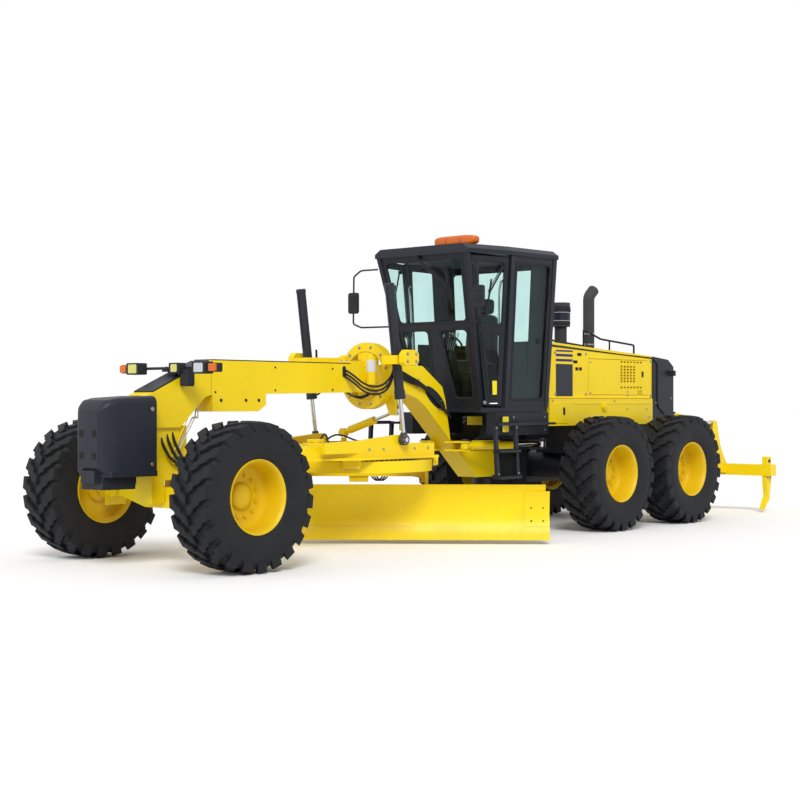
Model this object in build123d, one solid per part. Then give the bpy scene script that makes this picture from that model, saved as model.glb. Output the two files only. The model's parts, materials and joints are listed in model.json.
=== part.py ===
from build123d import *
import math
import os

# Motor grader: six wheels, articulated frame, circle-mounted blade, rear ripper.
# Millimetres. X points forward, Y to the machine's left, Z up, ground at z = 0.
# Stations along X are counted from the front axle; write() moves every piece by
# origin_x, which puts the origin below the middle of the machine's length.

# ---------------------------------------------------------------- driving sizes
origin_x = 4977.5
pin_play = 0.08          # radial running clearance of a pin or rod in its bore
gap = 6.0                # clearance between pieces that move past each other

# wheels
tyre_radius = 745.0
tyre_half_width = 260.0
wheel_sides = 24
rim_seat_radius = 346.0
rim_seat_half_width = 200.0
rim_flange_radius = 372.0
rim_flange_half_width = 226.0
rim_barrel_radius = 322.0
disc_inset = 60.0        # wheel disc inboard of the tyre's middle plane
disc_thickness = 30.0
hub_radius = 140.0
hub_out = 60.0
hub_in = 25.0
lug_count = 18
lug_height = 46.0
lug_sweep_deg = 16.0
lug_width_deg = 8.5

track = 2360.0
wheelbase = 7354.0       # front axle to the middle of the tandem
tandem_spacing = 1780.0
axle_z = tyre_radius
wheel_y = track / 2

# front axle
lean_pin_y = 700.0
lean_pin_radius = 32.0
king_pin_y = 870.0
king_pin_radius = 30.0
axle_half_depth = 95.0   # half the beam's size along X
axle_top_z = 800.0
axle_pin_z = 700.0       # pin that the axle rocks on, along X
axle_pin_radius = 50.0

# front frame
beam_half_width = 155.0
beam_top_z = 2110.0
beam_low_z = 1785.0
nose_front_x = 370.0
pivot_x = -5350.0
pivot_radius = 60.0
foot_bottom_z = 712.0
foot_top_z = 1050.0
pivot_boss_radius = 150.0

# saddle, drawbar, circle and blade
saddle_x = -3130.0
saddle_z = 1980.0
saddle_outer = 395.0
saddle_inner = 290.0
saddle_half_depth = 60.0
ball_x = -290.0
ball_z = 1050.0
ball_radius = 62.0
circle_x = -2950.0
circle_outer = 870.0
circle_inner = 760.0
circle_bottom_z = 870.0
circle_top_z = 1000.0
drawbar_bottom_z = 1020.0
drawbar_top_z = 1220.0
drawbar_rear_x = -3560.0
drawbar_hole = 520.0     # radius of the plate's hole over the circle
blade_turn_deg = 39.0    # left end trails by this much at rest
blade_rest_shift = 64.7  # blade moved this much to its left end at rest
blade_half_length = 2140.0
blade_bottom_z = 50.0
blade_top_z = 700.0
blade_bow = 120.0
blade_thickness = 24.0
edge_top_z = 200.0
edge_seat_z = 140.0      # foot of the bowed plate, behind the cutting edge
end_plate_reach = 50.0
end_plate_length = 300.0
pitch_axis_back = 215.0  # pitch axis behind the blade's edges
pitch_axis_z = 300.0
leg_v = 800.0            # circle legs, from the middle along the blade
leg_half = 20.0
pitch_pin_radius = 30.0
lower_rail_z = 362.0
upper_rail_z = 600.0
rail_depth = 40.0
rail_back = 175.0        # rails' rear faces behind the blade's edges
guide_half_length = 1500.0
shoe_v = 690.0

# lift cylinders
lift_y = 705.0
drawbar_side_y = 660.0
trunnion_x = -2830.0
trunnion_z = 2150.0
lift_pin_x = -2963.0
lift_pin_z = 1238.0
lift_barrel_radius = 55.0
lift_rod_radius = 25.0
lift_barrel_top = 880.0      # above the trunnion, along the cylinder
lift_barrel_bottom = 440.0   # below it

# centre-shift cylinder, from the drawbar to the saddle's ear
shift_base = (-3300.0, -560.0, 1300.0)
shift_ear = (-3250.0, 330.0, 1560.0)
shift_eye_half = 30.0
shift_pin_radius = 22.0

# articulation cylinders
artic_z = 1120.0
artic_front = (-4550.0, 330.0)
artic_rear = (-5950.0, 500.0)
artic_barrel_radius = 50.0
artic_rod_radius = 24.0

# cab corners, (x, y) of the left side at the sill and at the roof
sill_z = 1600.0
seat_x = -5130.0
seat_pan_z = sill_z + 450.0
cab_top_z = 3590.0
roof_z = cab_top_z - 90.0
post_a = ((-4620.0, 520.0), (-4120.0, 700.0))
post_b = ((-4820.0, 750.0), (-4830.0, 850.0))
post_c = ((-5620.0, 780.0), (-5650.0, 900.0))
wall = 44.0
post_size = 74.0
glass_thickness = 8.0
door_front_gap = 62.0    # door's edges from the middle lines of posts A and B
door_rear_gap = 58.0
hinge_out = 34.0         # door hinge line outside post B's middle

# hood and rear frame
hood_front_x = -6020.0
hood_rear_x = -8460.0
hood_half_width = 620.0
hood_bottom_z = 1720.0
hood_front_z = 2390.0
hood_rear_z = 2300.0
hood_wall = 30.0
cap_front_z = 2450.0
cap_rear_z = 2320.0
door_front_x = -6850.0
door_rear_x = -8350.0
door_bottom_z = 1770.0
door_top_z = 2250.0
shroud_rear_x = -9050.0
rail_y = 350.0
rail_half_width = 60.0
rail_bottom_z = 1080.0
rail_top_z = 1350.0
rail_rear_x = -9250.0

# ripper
ripper_pivot_x = -9400.0
ripper_pivot_z = 850.0
ripper_arm_y = 500.0
ripper_beam_x = -10830.0
ripper_beam_z = 635.0
ripper_half_width = 1290.0
ripper_ear = (-10400.0, 1340.0)
ripper_base = (-9350.0, 1450.0)
shank_tip_z = 42.0
ripper_barrel_radius = 52.0
ripper_rod_radius = 26.0


# ---------------------------------------------------------------- shape helpers
def block(x0, x1, y0, y1, z0, z1):
    """A box between two corners, whose Y may come in either order."""
    y0, y1 = sorted((y0, y1))
    return Solid.make_box(x1 - x0, y1 - y0, z1 - z0, Plane((x0, y0, z0)))


def side_plate(outline, y0, y1):
    """A plate from y0 to y1 whose outline is a list of (x, z)."""
    face = Face(Wire.make_polygon([(x, y0, z) for x, z in outline], close=True))
    return Solid.extrude(face, Vector(0, y1 - y0, 0))


def floor_plate(outline, z0, z1):
    """A plate from z0 to z1 whose outline is a list of (x, y)."""
    face = Face(Wire.make_polygon([(x, y, z0) for x, y in outline], close=True))
    return Solid.extrude(face, Vector(0, 0, z1 - z0))


def cross_plate(outline, x0, x1):
    """A plate from x0 to x1 whose outline is a list of (y, z)."""
    face = Face(Wire.make_polygon([(x0, y, z) for y, z in outline], close=True))
    return Solid.extrude(face, Vector(x1 - x0, 0, 0))


def rod(start, end, radius):
    start, end = Vector(*start), Vector(*end)
    plane = Plane(origin=start, z_dir=end - start)
    return Solid.make_cylinder(radius, (end - start).length, plane)


def bar(low, high, size_x, size_y):
    """A straight bar between two points, of one level rectangular section."""
    wires = []
    for x, y, z in (low, high):
        corners = ((-1, -1), (1, -1), (1, 1), (-1, 1))
        wires.append(Wire.make_polygon(
            [(x + i * size_x / 2, y + j * size_y / 2, z) for i, j in corners], close=True))
    return Solid.make_loft(wires, ruled=True)


def other_side(shape):
    return mirror(shape, about=Plane.XZ)


def both_sides(shape):
    return Compound([*shape.solids(), *other_side(shape).solids()])


def bent_tube(points, radius, bend):
    """A round bar along straight runs joined by arcs of one radius."""
    path = FilletPolyline(*points, radius=bend)
    start = Plane(origin=path @ 0, z_dir=path % 0)
    return sweep(start * Circle(radius), path=path).solid()


def turned_ring(profile, sides):
    """A ring about Y with flat sides; the profile is a closed list of (y, radius)."""
    faces = []
    for side in range(sides):
        first, last = (math.tau * (side + k) / sides for k in (0, 1))
        for (y0, r0), (y1, r1) in zip(profile, profile[1:] + profile[:1]):
            faces.append(Face(Wire.make_polygon([
                (r0 * math.cos(first), y0, r0 * math.sin(first)),
                (r1 * math.cos(first), y1, r1 * math.sin(first)),
                (r1 * math.cos(last), y1, r1 * math.sin(last)),
                (r0 * math.cos(last), y0, r0 * math.sin(last))], close=True)))
    return Solid(Shell(faces))


def write(name, shape):
    os.makedirs("parts", exist_ok=True)
    export_step(Pos(origin_x, 0, 0) * shape, f"parts/{name}.step")
    print(name, len(shape.solids()))


# ---------------------------------------------------------------- wheels
def tyre_lug(angle_deg, side):
    """One bar of the tread, from near the middle to the shoulder, swept backwards."""
    root = tyre_radius - lug_height
    # columns: place across the tread, turn at that place, depth that it starts from
    ends = ((10.0, 0.0, root - 20), (tyre_half_width - 8, lug_sweep_deg, root - 80))
    corners = []
    for y, turn, start in ends:
        for shift in (0.0, lug_width_deg):
            a = math.radians(angle_deg + turn + shift)
            for r in (start, tyre_radius if y < 100 else tyre_radius - 4):
                corners.append((r * math.cos(a), side * y, r * math.sin(a)))
    quads = ((0, 1, 3, 2), (4, 6, 7, 5), (0, 4, 5, 1), (2, 3, 7, 6), (0, 2, 6, 4), (1, 5, 7, 3))
    faces = []
    for a, b, c, d in quads:
        for triangle in ((a, b, c), (a, c, d)):
            faces.append(Face(Wire.make_polygon([corners[i] for i in triangle], close=True)))
    solid = Solid(Shell(faces))
    return solid if solid.volume > 0 else -solid


def tyre():
    tread = tyre_radius - lug_height + 4
    half = [(rim_seat_half_width, rim_seat_radius),
            (rim_flange_half_width - 13, rim_flange_radius),
            (tyre_half_width, 510.0),
            (tyre_half_width - 4, 610.0),
            (tyre_half_width - 34, tread)]
    carcass = turned_ring(half + [(-y, r) for y, r in reversed(half)], wheel_sides)
    pitch = 360.0 / lug_count
    lugs = []
    for side, stagger in ((1, 0.0), (-1, pitch / 2)):
        lugs += [tyre_lug(i * pitch - 90.0 + stagger, side) for i in range(lug_count)]
    return carcass.fuse(*lugs)


def rim():
    disc_out = -disc_inset + disc_thickness / 2
    disc_in = -disc_inset - disc_thickness / 2
    profile = [(rim_seat_half_width, rim_seat_radius),
               (rim_flange_half_width - 13, rim_flange_radius),
               (rim_flange_half_width, rim_flange_radius),
               (rim_seat_half_width, rim_barrel_radius),
               (disc_out, rim_barrel_radius),
               (disc_out, hub_radius - 20),
               (disc_in, hub_radius - 20),
               (disc_in, rim_barrel_radius),
               (-rim_seat_half_width, rim_barrel_radius),
               (-rim_flange_half_width, rim_flange_radius),
               (-rim_flange_half_width + 13, rim_flange_radius),
               (-rim_seat_half_width, rim_seat_radius)]
    corner = [math.tau * i / wheel_sides for i in range(wheel_sides)]
    outline = [(hub_radius * math.cos(a), hub_radius * math.sin(a)) for a in corner]
    hub = side_plate(outline, disc_in - hub_in, disc_out + hub_out)
    return turned_ring(profile, wheel_sides).fuse(hub)


def wheel_places():
    """Name, station and side of each wheel."""
    rear = -wheelbase
    half = tandem_spacing / 2
    places = []
    for label, side in (("left", 1), ("right", -1)):
        places.append((f"front_{label}", 0.0, side))
        places.append((f"middle_{label}", rear + half, side))
        places.append((f"rear_{label}", rear - half, side))
    return places


def write_wheels():
    left = {"tyre": tyre(), "rim": rim()}
    for place, x, side in wheel_places():
        for piece, shape in left.items():
            turned = shape if side > 0 else other_side(shape)
            write(f"{piece}_{place}", Pos(x, side * wheel_y, axle_z) * turned)


# ---------------------------------------------------------------- front axle
def front_axle():
    half = lean_pin_y - 95
    beam = cross_plate([(-half, axle_top_z), (half, axle_top_z), (half, 690.0),
                        (200.0, 585.0), (-200.0, 585.0), (-half, 690.0)],
                       -axle_half_depth, axle_half_depth)
    for side in (1, -1):
        eye = rod((-axle_half_depth, side * lean_pin_y, axle_z),
                  (axle_half_depth, side * lean_pin_y, axle_z), 72.0)
        web = block(-axle_half_depth, axle_half_depth,
                    min(side * half, side * lean_pin_y), max(side * half, side * lean_pin_y),
                    axle_z - 55, axle_z + 55)
        beam = beam + eye + web
    for side in (1, -1):
        beam = beam - rod((-200, side * lean_pin_y, axle_z), (200, side * lean_pin_y, axle_z),
                          lean_pin_radius + pin_play)
    return beam - rod((-200, 0, axle_pin_z), (200, 0, axle_pin_z), axle_pin_radius + pin_play)


def lean_bracket():
    """Left bracket: ears round the axle's eye, and a C that holds the king pin."""
    ear_in = axle_half_depth + gap
    plate = block(-ear_in - 30, ear_in + 30, lean_pin_y + 84, lean_pin_y + 112,
                  axle_z - 165, axle_z + 165)
    shape = plate
    for end in (1, -1):
        near, far = sorted((end * ear_in, end * (ear_in + 30)))
        shape = shape + rod((near, lean_pin_y, axle_z), (far, lean_pin_y, axle_z), 70.0)
        shape = shape + block(near, far, lean_pin_y, lean_pin_y + 90, axle_z - 60, axle_z + 60)
    shape = shape + rod((-ear_in - 30, lean_pin_y, axle_z), (ear_in + 30, lean_pin_y, axle_z),
                        lean_pin_radius)
    for end in (1, -1):
        low, high = sorted((axle_z + end * 125, axle_z + end * 165))
        arm = block(-70, 70, lean_pin_y + 90, king_pin_y, low, high)
        shape = shape + arm + rod((0, king_pin_y, low), (0, king_pin_y, high), 70.0)
    return shape + rod((0, king_pin_y, axle_z - 160), (0, king_pin_y, axle_z + 160), king_pin_radius)


def knuckle():
    """Left knuckle: block on the king pin with the wheel's spindle."""
    half = 125 - gap
    body = rod((0, king_pin_y, axle_z - half), (0, king_pin_y, axle_z + half), 50.0)
    disc_in = wheel_y - disc_inset - disc_thickness / 2 - hub_in
    spindle = rod((0, king_pin_y, axle_z), (0, disc_in - gap, axle_z), 48.0)
    flange = rod((0, king_pin_y + 60, axle_z), (0, king_pin_y + 90, axle_z), 105.0)
    hole = rod((0, king_pin_y, 0), (0, king_pin_y, 2 * axle_z), king_pin_radius + pin_play)
    return body + spindle + flange - hole


# ---------------------------------------------------------------- front frame
def front_frame():
    outline = [(nose_front_x, 1730.0), (-500.0, beam_top_z), (-3940.0, beam_top_z),
               (-4170.0, 1960.0), (-4325.0, 1856.0), (-4385.0, 1690.0), (-4485.0, 1190.0),
               (-4800.0, foot_top_z), (pivot_x, foot_top_z), (pivot_x, foot_bottom_z),
               (-5020.0, foot_bottom_z), (-4460.0, 1210.0), (-3980.0, 1630.0),
               (-3830.0, 1720.0), (-3600.0, beam_low_z), (-2900.0, beam_low_z), (-500.0, 1745.0),
               (-420.0, 1720.0), (-80.0, 1410.0), (nose_front_x, 1410.0)]
    shape = side_plate(outline, -beam_half_width, beam_half_width)
    boss = rod((pivot_x, 0, foot_bottom_z), (pivot_x, 0, foot_top_z), pivot_boss_radius)
    shape = shape + boss
    # bolster: two legs with the axle between them, and the nose plate above
    ear = axle_half_depth + 8
    for x0, x1 in ((ear, ear + 170), (-ear - 90, -ear)):
        shape = shape + block(x0, x1, -120, 120, 640, 1430)
    shape = shape + block(-ear - 90, ear + 170, -120, 120, 870, 1430)
    shape = shape + rod((-ear - 90, 0, axle_pin_z), (ear + 170, 0, axle_pin_z), axle_pin_radius)
    # socket that holds the drawbar's ball, open to the rear
    socket = block(ball_x - 20, -ear - 90, -95, 95, ball_z - 95, ball_z + 95)
    shape = shape + (socket - Pos(ball_x, 0, ball_z) * Solid.make_sphere(ball_radius + pin_play))
    # guard below the beam
    shape = shape + side_plate([(-520, 1750), (-1300, 1760), (-1300, 1640), (-1190, 1570),
                                (-520, 1570)], -100, beam_half_width)
    # articulation cylinder brackets
    fx, fy = artic_front
    for side in (1, -1):
        for z0 in (artic_z + 40, artic_z - 62):
            outline = [(fx + 120, side * 100), (fx - 150, side * 100), (fx - 50, side * (fy + 40)),
                       (fx + 50, side * (fy + 40))]
            shape = shape + floor_plate(outline, z0, z0 + 22)
        shape = shape + rod((fx, side * fy, artic_z - 62), (fx, side * fy, artic_z + 62), 30.0)
    pin_hole = rod((pivot_x, 0, 0), (pivot_x, 0, 2000), pivot_radius + pin_play)
    return shape - pin_hole


def counterweight():
    """Cast front weight with bevelled edges, tapered in plan, bolted on the nose plate."""
    sections = []
    # columns: x, half width, bottom, top, bevel of the upper corners
    for x, half, low, high, cut in ((nose_front_x + 2, 325, 930, 1735, 70), (880.0, 240, 930, 1700, 60),
                                    (965.0, 185, 1020, 1630, 45)):
        sections.append(Wire.make_polygon(
            [(x, -half, low), (x, half, low), (x, half, high - cut), (x, half - cut, high),
             (x, cut - half, high), (x, -half, high - cut)], close=True))
    shape = Solid.make_loft(sections, ruled=True)
    seat = nose_front_x + 2
    ledge = floor_plate([(seat, -335), (seat, 335), (880, 250), (880, -250)], 930, 990)
    tongue = floor_plate([(560, -225), (560, 225), (930, 170), (930, -170)], 805, 935)
    step = floor_plate([(640, -150), (640, 150), (985, 110), (985, -110)], 870, 1000)
    shape = shape + ledge + tongue + step
    for y in (-95, 95):
        for z in (1160, 1380):
            shape = shape - block(925, 1000, y - 30, y + 30, z - 32, z + 32)
    return shape


def headlamps():
    """Cross bar with its foot on the beam, five lamp housings and a box under it."""
    shape = block(-130, -90, -640, 640, 2005, 2035) + block(-130, -90, -150, 200, 1985, 2030)
    shape = shape + block(-130, -90, -60, 60, 1950, 2010)
    # columns: middle of the lamp across the machine, half width, half height, depth
    for y, half, tall, deep in ((530, 85, 62, 150), (-530, 85, 62, 150), (120, 70, 55, 120),
                                (700, 55, 48, 110), (-700, 55, 48, 110)):
        shape = shape + block(-120, -120 + deep, y - half, y + half, 2020 - tall, 2020 + tall)
    return shape + block(-150, -60, 165, 300, 1830, 2010)


# ---------------------------------------------------------------- blade gear
def ring_x(x0, x1, z, outer, inner):
    solid = rod((x0, 0, z), (x1, 0, z), outer)
    return solid - rod((x0 - 10, 0, z), (x1 + 10, 0, z), inner)


def blade_saddle():
    shape = ring_x(saddle_x - saddle_half_depth, saddle_x + saddle_half_depth, saddle_z,
                   saddle_outer, saddle_inner)
    for low, high in ((saddle_z - saddle_inner - 20, beam_low_z), (beam_top_z, saddle_z + saddle_inner + 20)):
        shape = shape + block(saddle_x - 50, saddle_x + 50, -120, 120, low, high)
    bore = lift_barrel_radius + 18
    for side in (1, -1):
        arm = [(saddle_x - 60, side * 250), (saddle_x + 60, side * 330), (-2700, side * 600),
               (-2700, side * 820), (-2960, side * 820), (-2960, side * 600),
               (saddle_x - 60, side * 400)]
        yoke = floor_plate(arm, 2100, 2200)
        yoke = yoke - rod((trunnion_x, side * lift_y, 2000), (trunnion_x, side * lift_y, 2300), bore)
        pin_hole = rod((trunnion_x, side * 600, trunnion_z), (trunnion_x, side * 810, trunnion_z),
                       20 + pin_play)
        shape = shape + (yoke - pin_hole)
    # ear behind the ring, in which the centre-shift rod's eye turns
    ex, ey, ez = shift_ear
    near, far = ex + shift_eye_half + gap, ex - shift_eye_half - gap - 24
    for x0, x1 in ((near, saddle_x - saddle_half_depth + 10), (far, far + 24)):
        shape = shape + cross_plate([(ey - 45, ez - 45), (ey + 45, ez - 45), (ey + 50, ez + 60),
                                     (ey - 10, ez + 260), (ey - 140, ez + 200)], x0, x1)
    shape = shape + cross_plate([(ey + 45, ez + 80), (ey - 10, ez + 260), (ey - 120, ez + 170)],
                                far, saddle_x - saddle_half_depth + 10)
    return shape + rod((far, ey, ez), (near + 10, ey, ez), shift_pin_radius)


def lift_axis():
    """Unit vector down a lift cylinder at rest."""
    return Vector(lift_pin_x - trunnion_x, 0, lift_pin_z - trunnion_z).normalized()


def lift_barrel(side):
    axis = lift_axis()
    centre = Vector(trunnion_x, side * lift_y, trunnion_z)
    top, bottom = centre - axis * lift_barrel_top, centre + axis * lift_barrel_bottom
    shape = rod(top.to_tuple(), bottom.to_tuple(), lift_barrel_radius)
    shape = shape + rod((centre + axis * (lift_barrel_bottom - 90)).to_tuple(), bottom.to_tuple(),
                        lift_barrel_radius + 8)
    inner_top = centre - axis * (lift_barrel_top - 40)
    shape = shape - rod(inner_top.to_tuple(), (bottom - axis * 60).to_tuple(), lift_barrel_radius - 12)
    shape = shape - rod(centre.to_tuple(), (bottom + axis * 10).to_tuple(), lift_rod_radius + pin_play)
    for end in (1, -1):
        pin = rod((trunnion_x, side * lift_y + end * (lift_barrel_radius - 8), trunnion_z),
                  (trunnion_x, side * lift_y + end * 100, trunnion_z), 20.0)
        shape = shape + pin
    return shape


def lift_rod(side):
    axis = lift_axis()
    centre = Vector(trunnion_x, side * lift_y, trunnion_z)
    pin = Vector(lift_pin_x, side * lift_y, lift_pin_z)
    shape = rod((centre - axis * 250).to_tuple(), (pin - axis * 45).to_tuple(), lift_rod_radius)
    eye = rod((pin - Vector(0, 32, 0)).to_tuple(), (pin + Vector(0, 32, 0)).to_tuple(), 58.0)
    inner_end = Vector(pin.X, side * (drawbar_side_y + gap), pin.Z)
    ball_pin = rod(inner_end.to_tuple(), (pin + Vector(0, side * 44, 0)).to_tuple(), 26.0)
    return shape + eye + ball_pin


def drawbar():
    """A-shaped plate frame with side plates, ball and the centre-shift socket's foot."""
    rear = drawbar_rear_x
    outer = [(ball_x - 60, 60), (-2250, 660), (rear, 660), (rear, -660), (-2250, -660),
             (ball_x - 60, -60)]
    shape = floor_plate(outer, drawbar_bottom_z + 30, drawbar_top_z - 40)
    shape = shape - floor_plate([(-760, 0), (-2080, 400), (-2080, -400)], 900, 1400)
    shape = shape - rod((circle_x, 0, 900), (circle_x, 0, 1400), drawbar_hole)
    lip = floor_plate([(-1500, 470), (-2250, 730), (rear, 730), (rear, -730), (-2250, -730),
                       (-1500, -470)], drawbar_bottom_z, drawbar_bottom_z + 30)
    lip = lip - rod((circle_x, 0, 900), (circle_x, 0, 1400), drawbar_hole)
    lip = lip - floor_plate([(-760, 0), (-2080, 400), (-2080, -400)], 900, 1400)
    shape = shape + lip
    for side in (1, -1):
        low, high = sorted((side * (drawbar_side_y - 60), side * drawbar_side_y))
        shape = shape + side_plate([(-1700, 1100), (rear, 1100), (rear, 1190), (lift_pin_x - 90, 1200),
                                    (lift_pin_x - 60, lift_pin_z + 55), (lift_pin_x + 60, lift_pin_z + 55),
                                    (-2300, drawbar_top_z + 20), (-1700, drawbar_top_z)], low, high)
    # ball at the front end
    shape = shape + Pos(ball_x, 0, ball_z) * Solid.make_sphere(ball_radius)
    shape = shape + rod((ball_x, 0, ball_z), (ball_x - 200, 0, ball_z + 30), 45.0)
    bx, by, bz = shift_base
    foot = Solid.make_cone(40.0, 34.0, 70.0, Plane((bx, by, bz - 130)))
    # bay that clears the saddle's ear with the drawbar raised
    ex, ey, _ = shift_ear
    bay = block(ex - 140, ex + 110, ey - 80, ey + 85, 1000, 1300)
    return shape - bay + foot


def blade_frame(u, v, z):
    """Point from blade coordinates: u forwards of its edges, v to its left end."""
    turn = math.radians(blade_turn_deg)
    forward, left = (math.cos(turn), math.sin(turn)), (-math.sin(turn), math.cos(turn))
    return (circle_x + u * forward[0] + v * left[0], u * forward[1] + v * left[1], z)


def blade_block(u0, u1, v0, v1, z0, z1):
    return blade_extrude([(u0, z0), (u1, z0), (u1, z1), (u0, z1)], v0, v1)


def blade_extrude(outline, v0, v1):
    """A bar along the blade whose outline is a list of (u, z)."""
    face = Face(Wire.make_polygon([blade_frame(u, v0, z) for u, z in outline], close=True))
    return Solid.extrude(face, Vector(*blade_frame(0, v1, 0)) - Vector(*blade_frame(0, v0, 0)))


def circle_ring():
    """Ring that turns under the drawbar, with the yoke that ties its legs."""
    shape = rod((circle_x, 0, circle_bottom_z), (circle_x, 0, circle_top_z), circle_outer)
    shape = shape - rod((circle_x, 0, 800), (circle_x, 0, 1100), circle_inner)
    back = -pitch_axis_back
    reach = leg_v - leg_half
    return shape + blade_block(back - 190, back - 110, -reach, reach,
                               circle_bottom_z - 90, circle_bottom_z + 10)


def circle_leg(side):
    """Leg below the ring, and the boss let into it that the blade's pitch pin turns in."""
    back = -pitch_axis_back
    v0, v1 = sorted((side * (leg_v - leg_half), side * (leg_v + leg_half)))
    plate = blade_extrude([(back - 95, 290), (back - 60, 240), (back - 6, 240), (back - 6, circle_bottom_z),
                           (back - 260, circle_bottom_z), (back - 95, 450)], v0, v1)
    near, far = blade_frame(back, v0, pitch_axis_z), blade_frame(back, v1, pitch_axis_z)
    boss, seat = rod(near, far, 62.0), rod(near, far, 62.3)
    hole = rod(near, far, pitch_pin_radius + pin_play)
    return [*(plate - seat).solids(), *(boss - hole).solids()]


def blade_carrier():
    back = -pitch_axis_back
    inner = leg_v - leg_half - gap
    shape = rod(blade_frame(back, -inner, pitch_axis_z), blade_frame(back, inner, pitch_axis_z), 55.0)
    shape = shape + rod(blade_frame(back, -leg_v - 30, pitch_axis_z),
                        blade_frame(back, leg_v + 30, pitch_axis_z), pitch_pin_radius)
    for side in (1, -1):
        v0, v1 = sorted((side * (shoe_v - 60), side * (shoe_v + 60)))
        low, high = lower_rail_z, upper_rail_z
        slot = -rail_back - gap
        shoe = blade_extrude([(back - 40, pitch_axis_z - 60), (back + 60, pitch_axis_z - 60),
                              (back + 69, pitch_axis_z + 30), (back + 69, low - gap), (slot, low - gap),
                              (slot, low + rail_depth + gap), (back + 69, low + rail_depth + gap),
                              (back + 69, 430), (back + 30, 450), (back + 30, 560), (-120, high - 26),
                              (-120, high - gap), (slot, high - gap), (slot, high + rail_depth + gap),
                              (-120, high + rail_depth + gap), (-120, high + rail_depth + 26),
                              (back, high + rail_depth + 26), (back - 40, 560)], v0, v1)
        shape = shape + shoe
    top = blade_block(back - 40, back + 20, -shoe_v, shoe_v, 500, 560)
    return shape + top


def bowed_run(v0, v1, z0, z1, front, back):
    """A length of plate bowed about one line; front and back are depths behind its face."""
    middle = (blade_bottom_z + blade_top_z) / 2
    half = (blade_top_z - blade_bottom_z) / 2
    radius = (half ** 2 + blade_bow ** 2) / (2 * blade_bow)

    def at(depth, z):
        u = radius - blade_bow - math.sqrt((radius + depth) ** 2 - (z - middle) ** 2)
        return blade_frame(u, v0, z)

    edges = [ThreePointArc(at(front, z0), at(front, (z0 + z1) / 2), at(front, z1)),
             Line(at(front, z1), at(back, z1)),
             ThreePointArc(at(back, z1), at(back, (z0 + z1) / 2), at(back, z0)),
             Line(at(back, z0), at(front, z0))]
    step = Vector(*blade_frame(0, v1, 0)) - Vector(*blade_frame(0, v0, 0))
    return Solid.extrude(Face(Wire(edges)), step)


def moldboard():
    """Bowed plate with plates over its ends."""
    middle = blade_rest_shift
    shape = bowed_run(middle - blade_half_length, middle + blade_half_length,
                      edge_seat_z, blade_top_z, 0.0, blade_thickness)
    for side in (1, -1):
        tip = blade_half_length + end_plate_reach
        v0, v1 = sorted((middle + side * tip, middle + side * (tip - end_plate_length)))
        shape = shape + bowed_run(v0, v1, edge_top_z + 3, blade_top_z - 80, -14.0, 2.0)
    return shape


def blade_rails():
    """Two guide rails welded to the plate's back."""
    middle = blade_rest_shift
    v0, v1 = middle - guide_half_length, middle + guide_half_length
    plate = bowed_run(v0 - 10, v1 + 10, edge_seat_z, blade_top_z, -60.0, blade_thickness)
    rails = [blade_block(-rail_back, -60.0, v0, v1, z, z + rail_depth) - plate
             for z in (lower_rail_z, upper_rail_z)]
    return Compound([solid for rail in rails for solid in rail.solids()])


def cutting_edge():
    """Edge strip on the face's foot, with its backing below the plate."""
    reach = blade_half_length + end_plate_reach
    v0, v1 = blade_rest_shift - reach, blade_rest_shift + reach
    face = bowed_run(v0, v1, blade_bottom_z, edge_top_z, -16.0, -0.3)
    return face + bowed_run(v0, v1, blade_bottom_z, edge_seat_z - 0.3, -1.0, 18.0)


def cylinder_pair(base, eye, barrel_share, barrel_radius, rod_radius, base_half, eye_half, pin_axis,
                  base_bore, stroke_in, eye_bore=28.0):
    """A barrel with its base eye and a rod with its own; the eyes turn about pin_axis."""
    start, end = Vector(*base), Vector(*eye)
    axis = (end - start).normalized()
    length = (end - start).length
    lip = start + axis * length * barrel_share
    side = Vector(*pin_axis)
    neck = 115.0
    barrel = rod((start + axis * neck).to_tuple(), lip.to_tuple(), barrel_radius)
    barrel = barrel + rod((start + axis * 40).to_tuple(), (start + axis * (neck + 20)).to_tuple(), 30.0)
    barrel = barrel + rod((start - side * base_half).to_tuple(), (start + side * base_half).to_tuple(), 52.0)
    if base_bore:
        barrel = barrel - rod((start - side * 200).to_tuple(), (start + side * 200).to_tuple(), base_bore)
    barrel = barrel - rod((start + axis * (neck + 30)).to_tuple(), (lip - axis * 50).to_tuple(),
                          barrel_radius - 10)
    barrel = barrel - rod((start + axis * 200).to_tuple(), (lip + axis * 10).to_tuple(),
                          rod_radius + pin_play)
    stem = rod((lip - axis * stroke_in).to_tuple(), (end - axis * 38).to_tuple(), rod_radius)
    loop = rod((end - side * eye_half).to_tuple(), (end + side * eye_half).to_tuple(), 50.0)
    loop = loop - rod((end - side * 90).to_tuple(), (end + side * 90).to_tuple(), eye_bore)
    return barrel, stem + loop


# ---------------------------------------------------------------- cab
def corner(post, level, side=1):
    x, y = post[level]
    return Vector(x, side * y, (sill_z, roof_z)[level])


def patch(corners, start, end, t0, t1, thickness):
    """A panel between four corners. It starts and ends at a distance from its first and
    last post; t runs from 0 at the sill to 1 at the roof."""
    a, b, c, d = corners
    normal = ((b - a) + (c - d)).cross((d - a) + (c - b)).normalized()
    low_way, high_way = (b - a).normalized(), (c - d).normalized()
    wires = []
    for low, high in ((a + low_way * start, d + high_way * start), (b - low_way * end, c - high_way * end)):
        foot, head = low + (high - low) * t0, low + (high - low) * t1
        inner, outer = normal * (-thickness / 2), normal * (thickness / 2)
        wires.append(Wire.make_polygon([foot + inner, foot + outer, head + outer, head + inner], close=True))
    return Solid.make_loft(wires, ruled=True)


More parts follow.
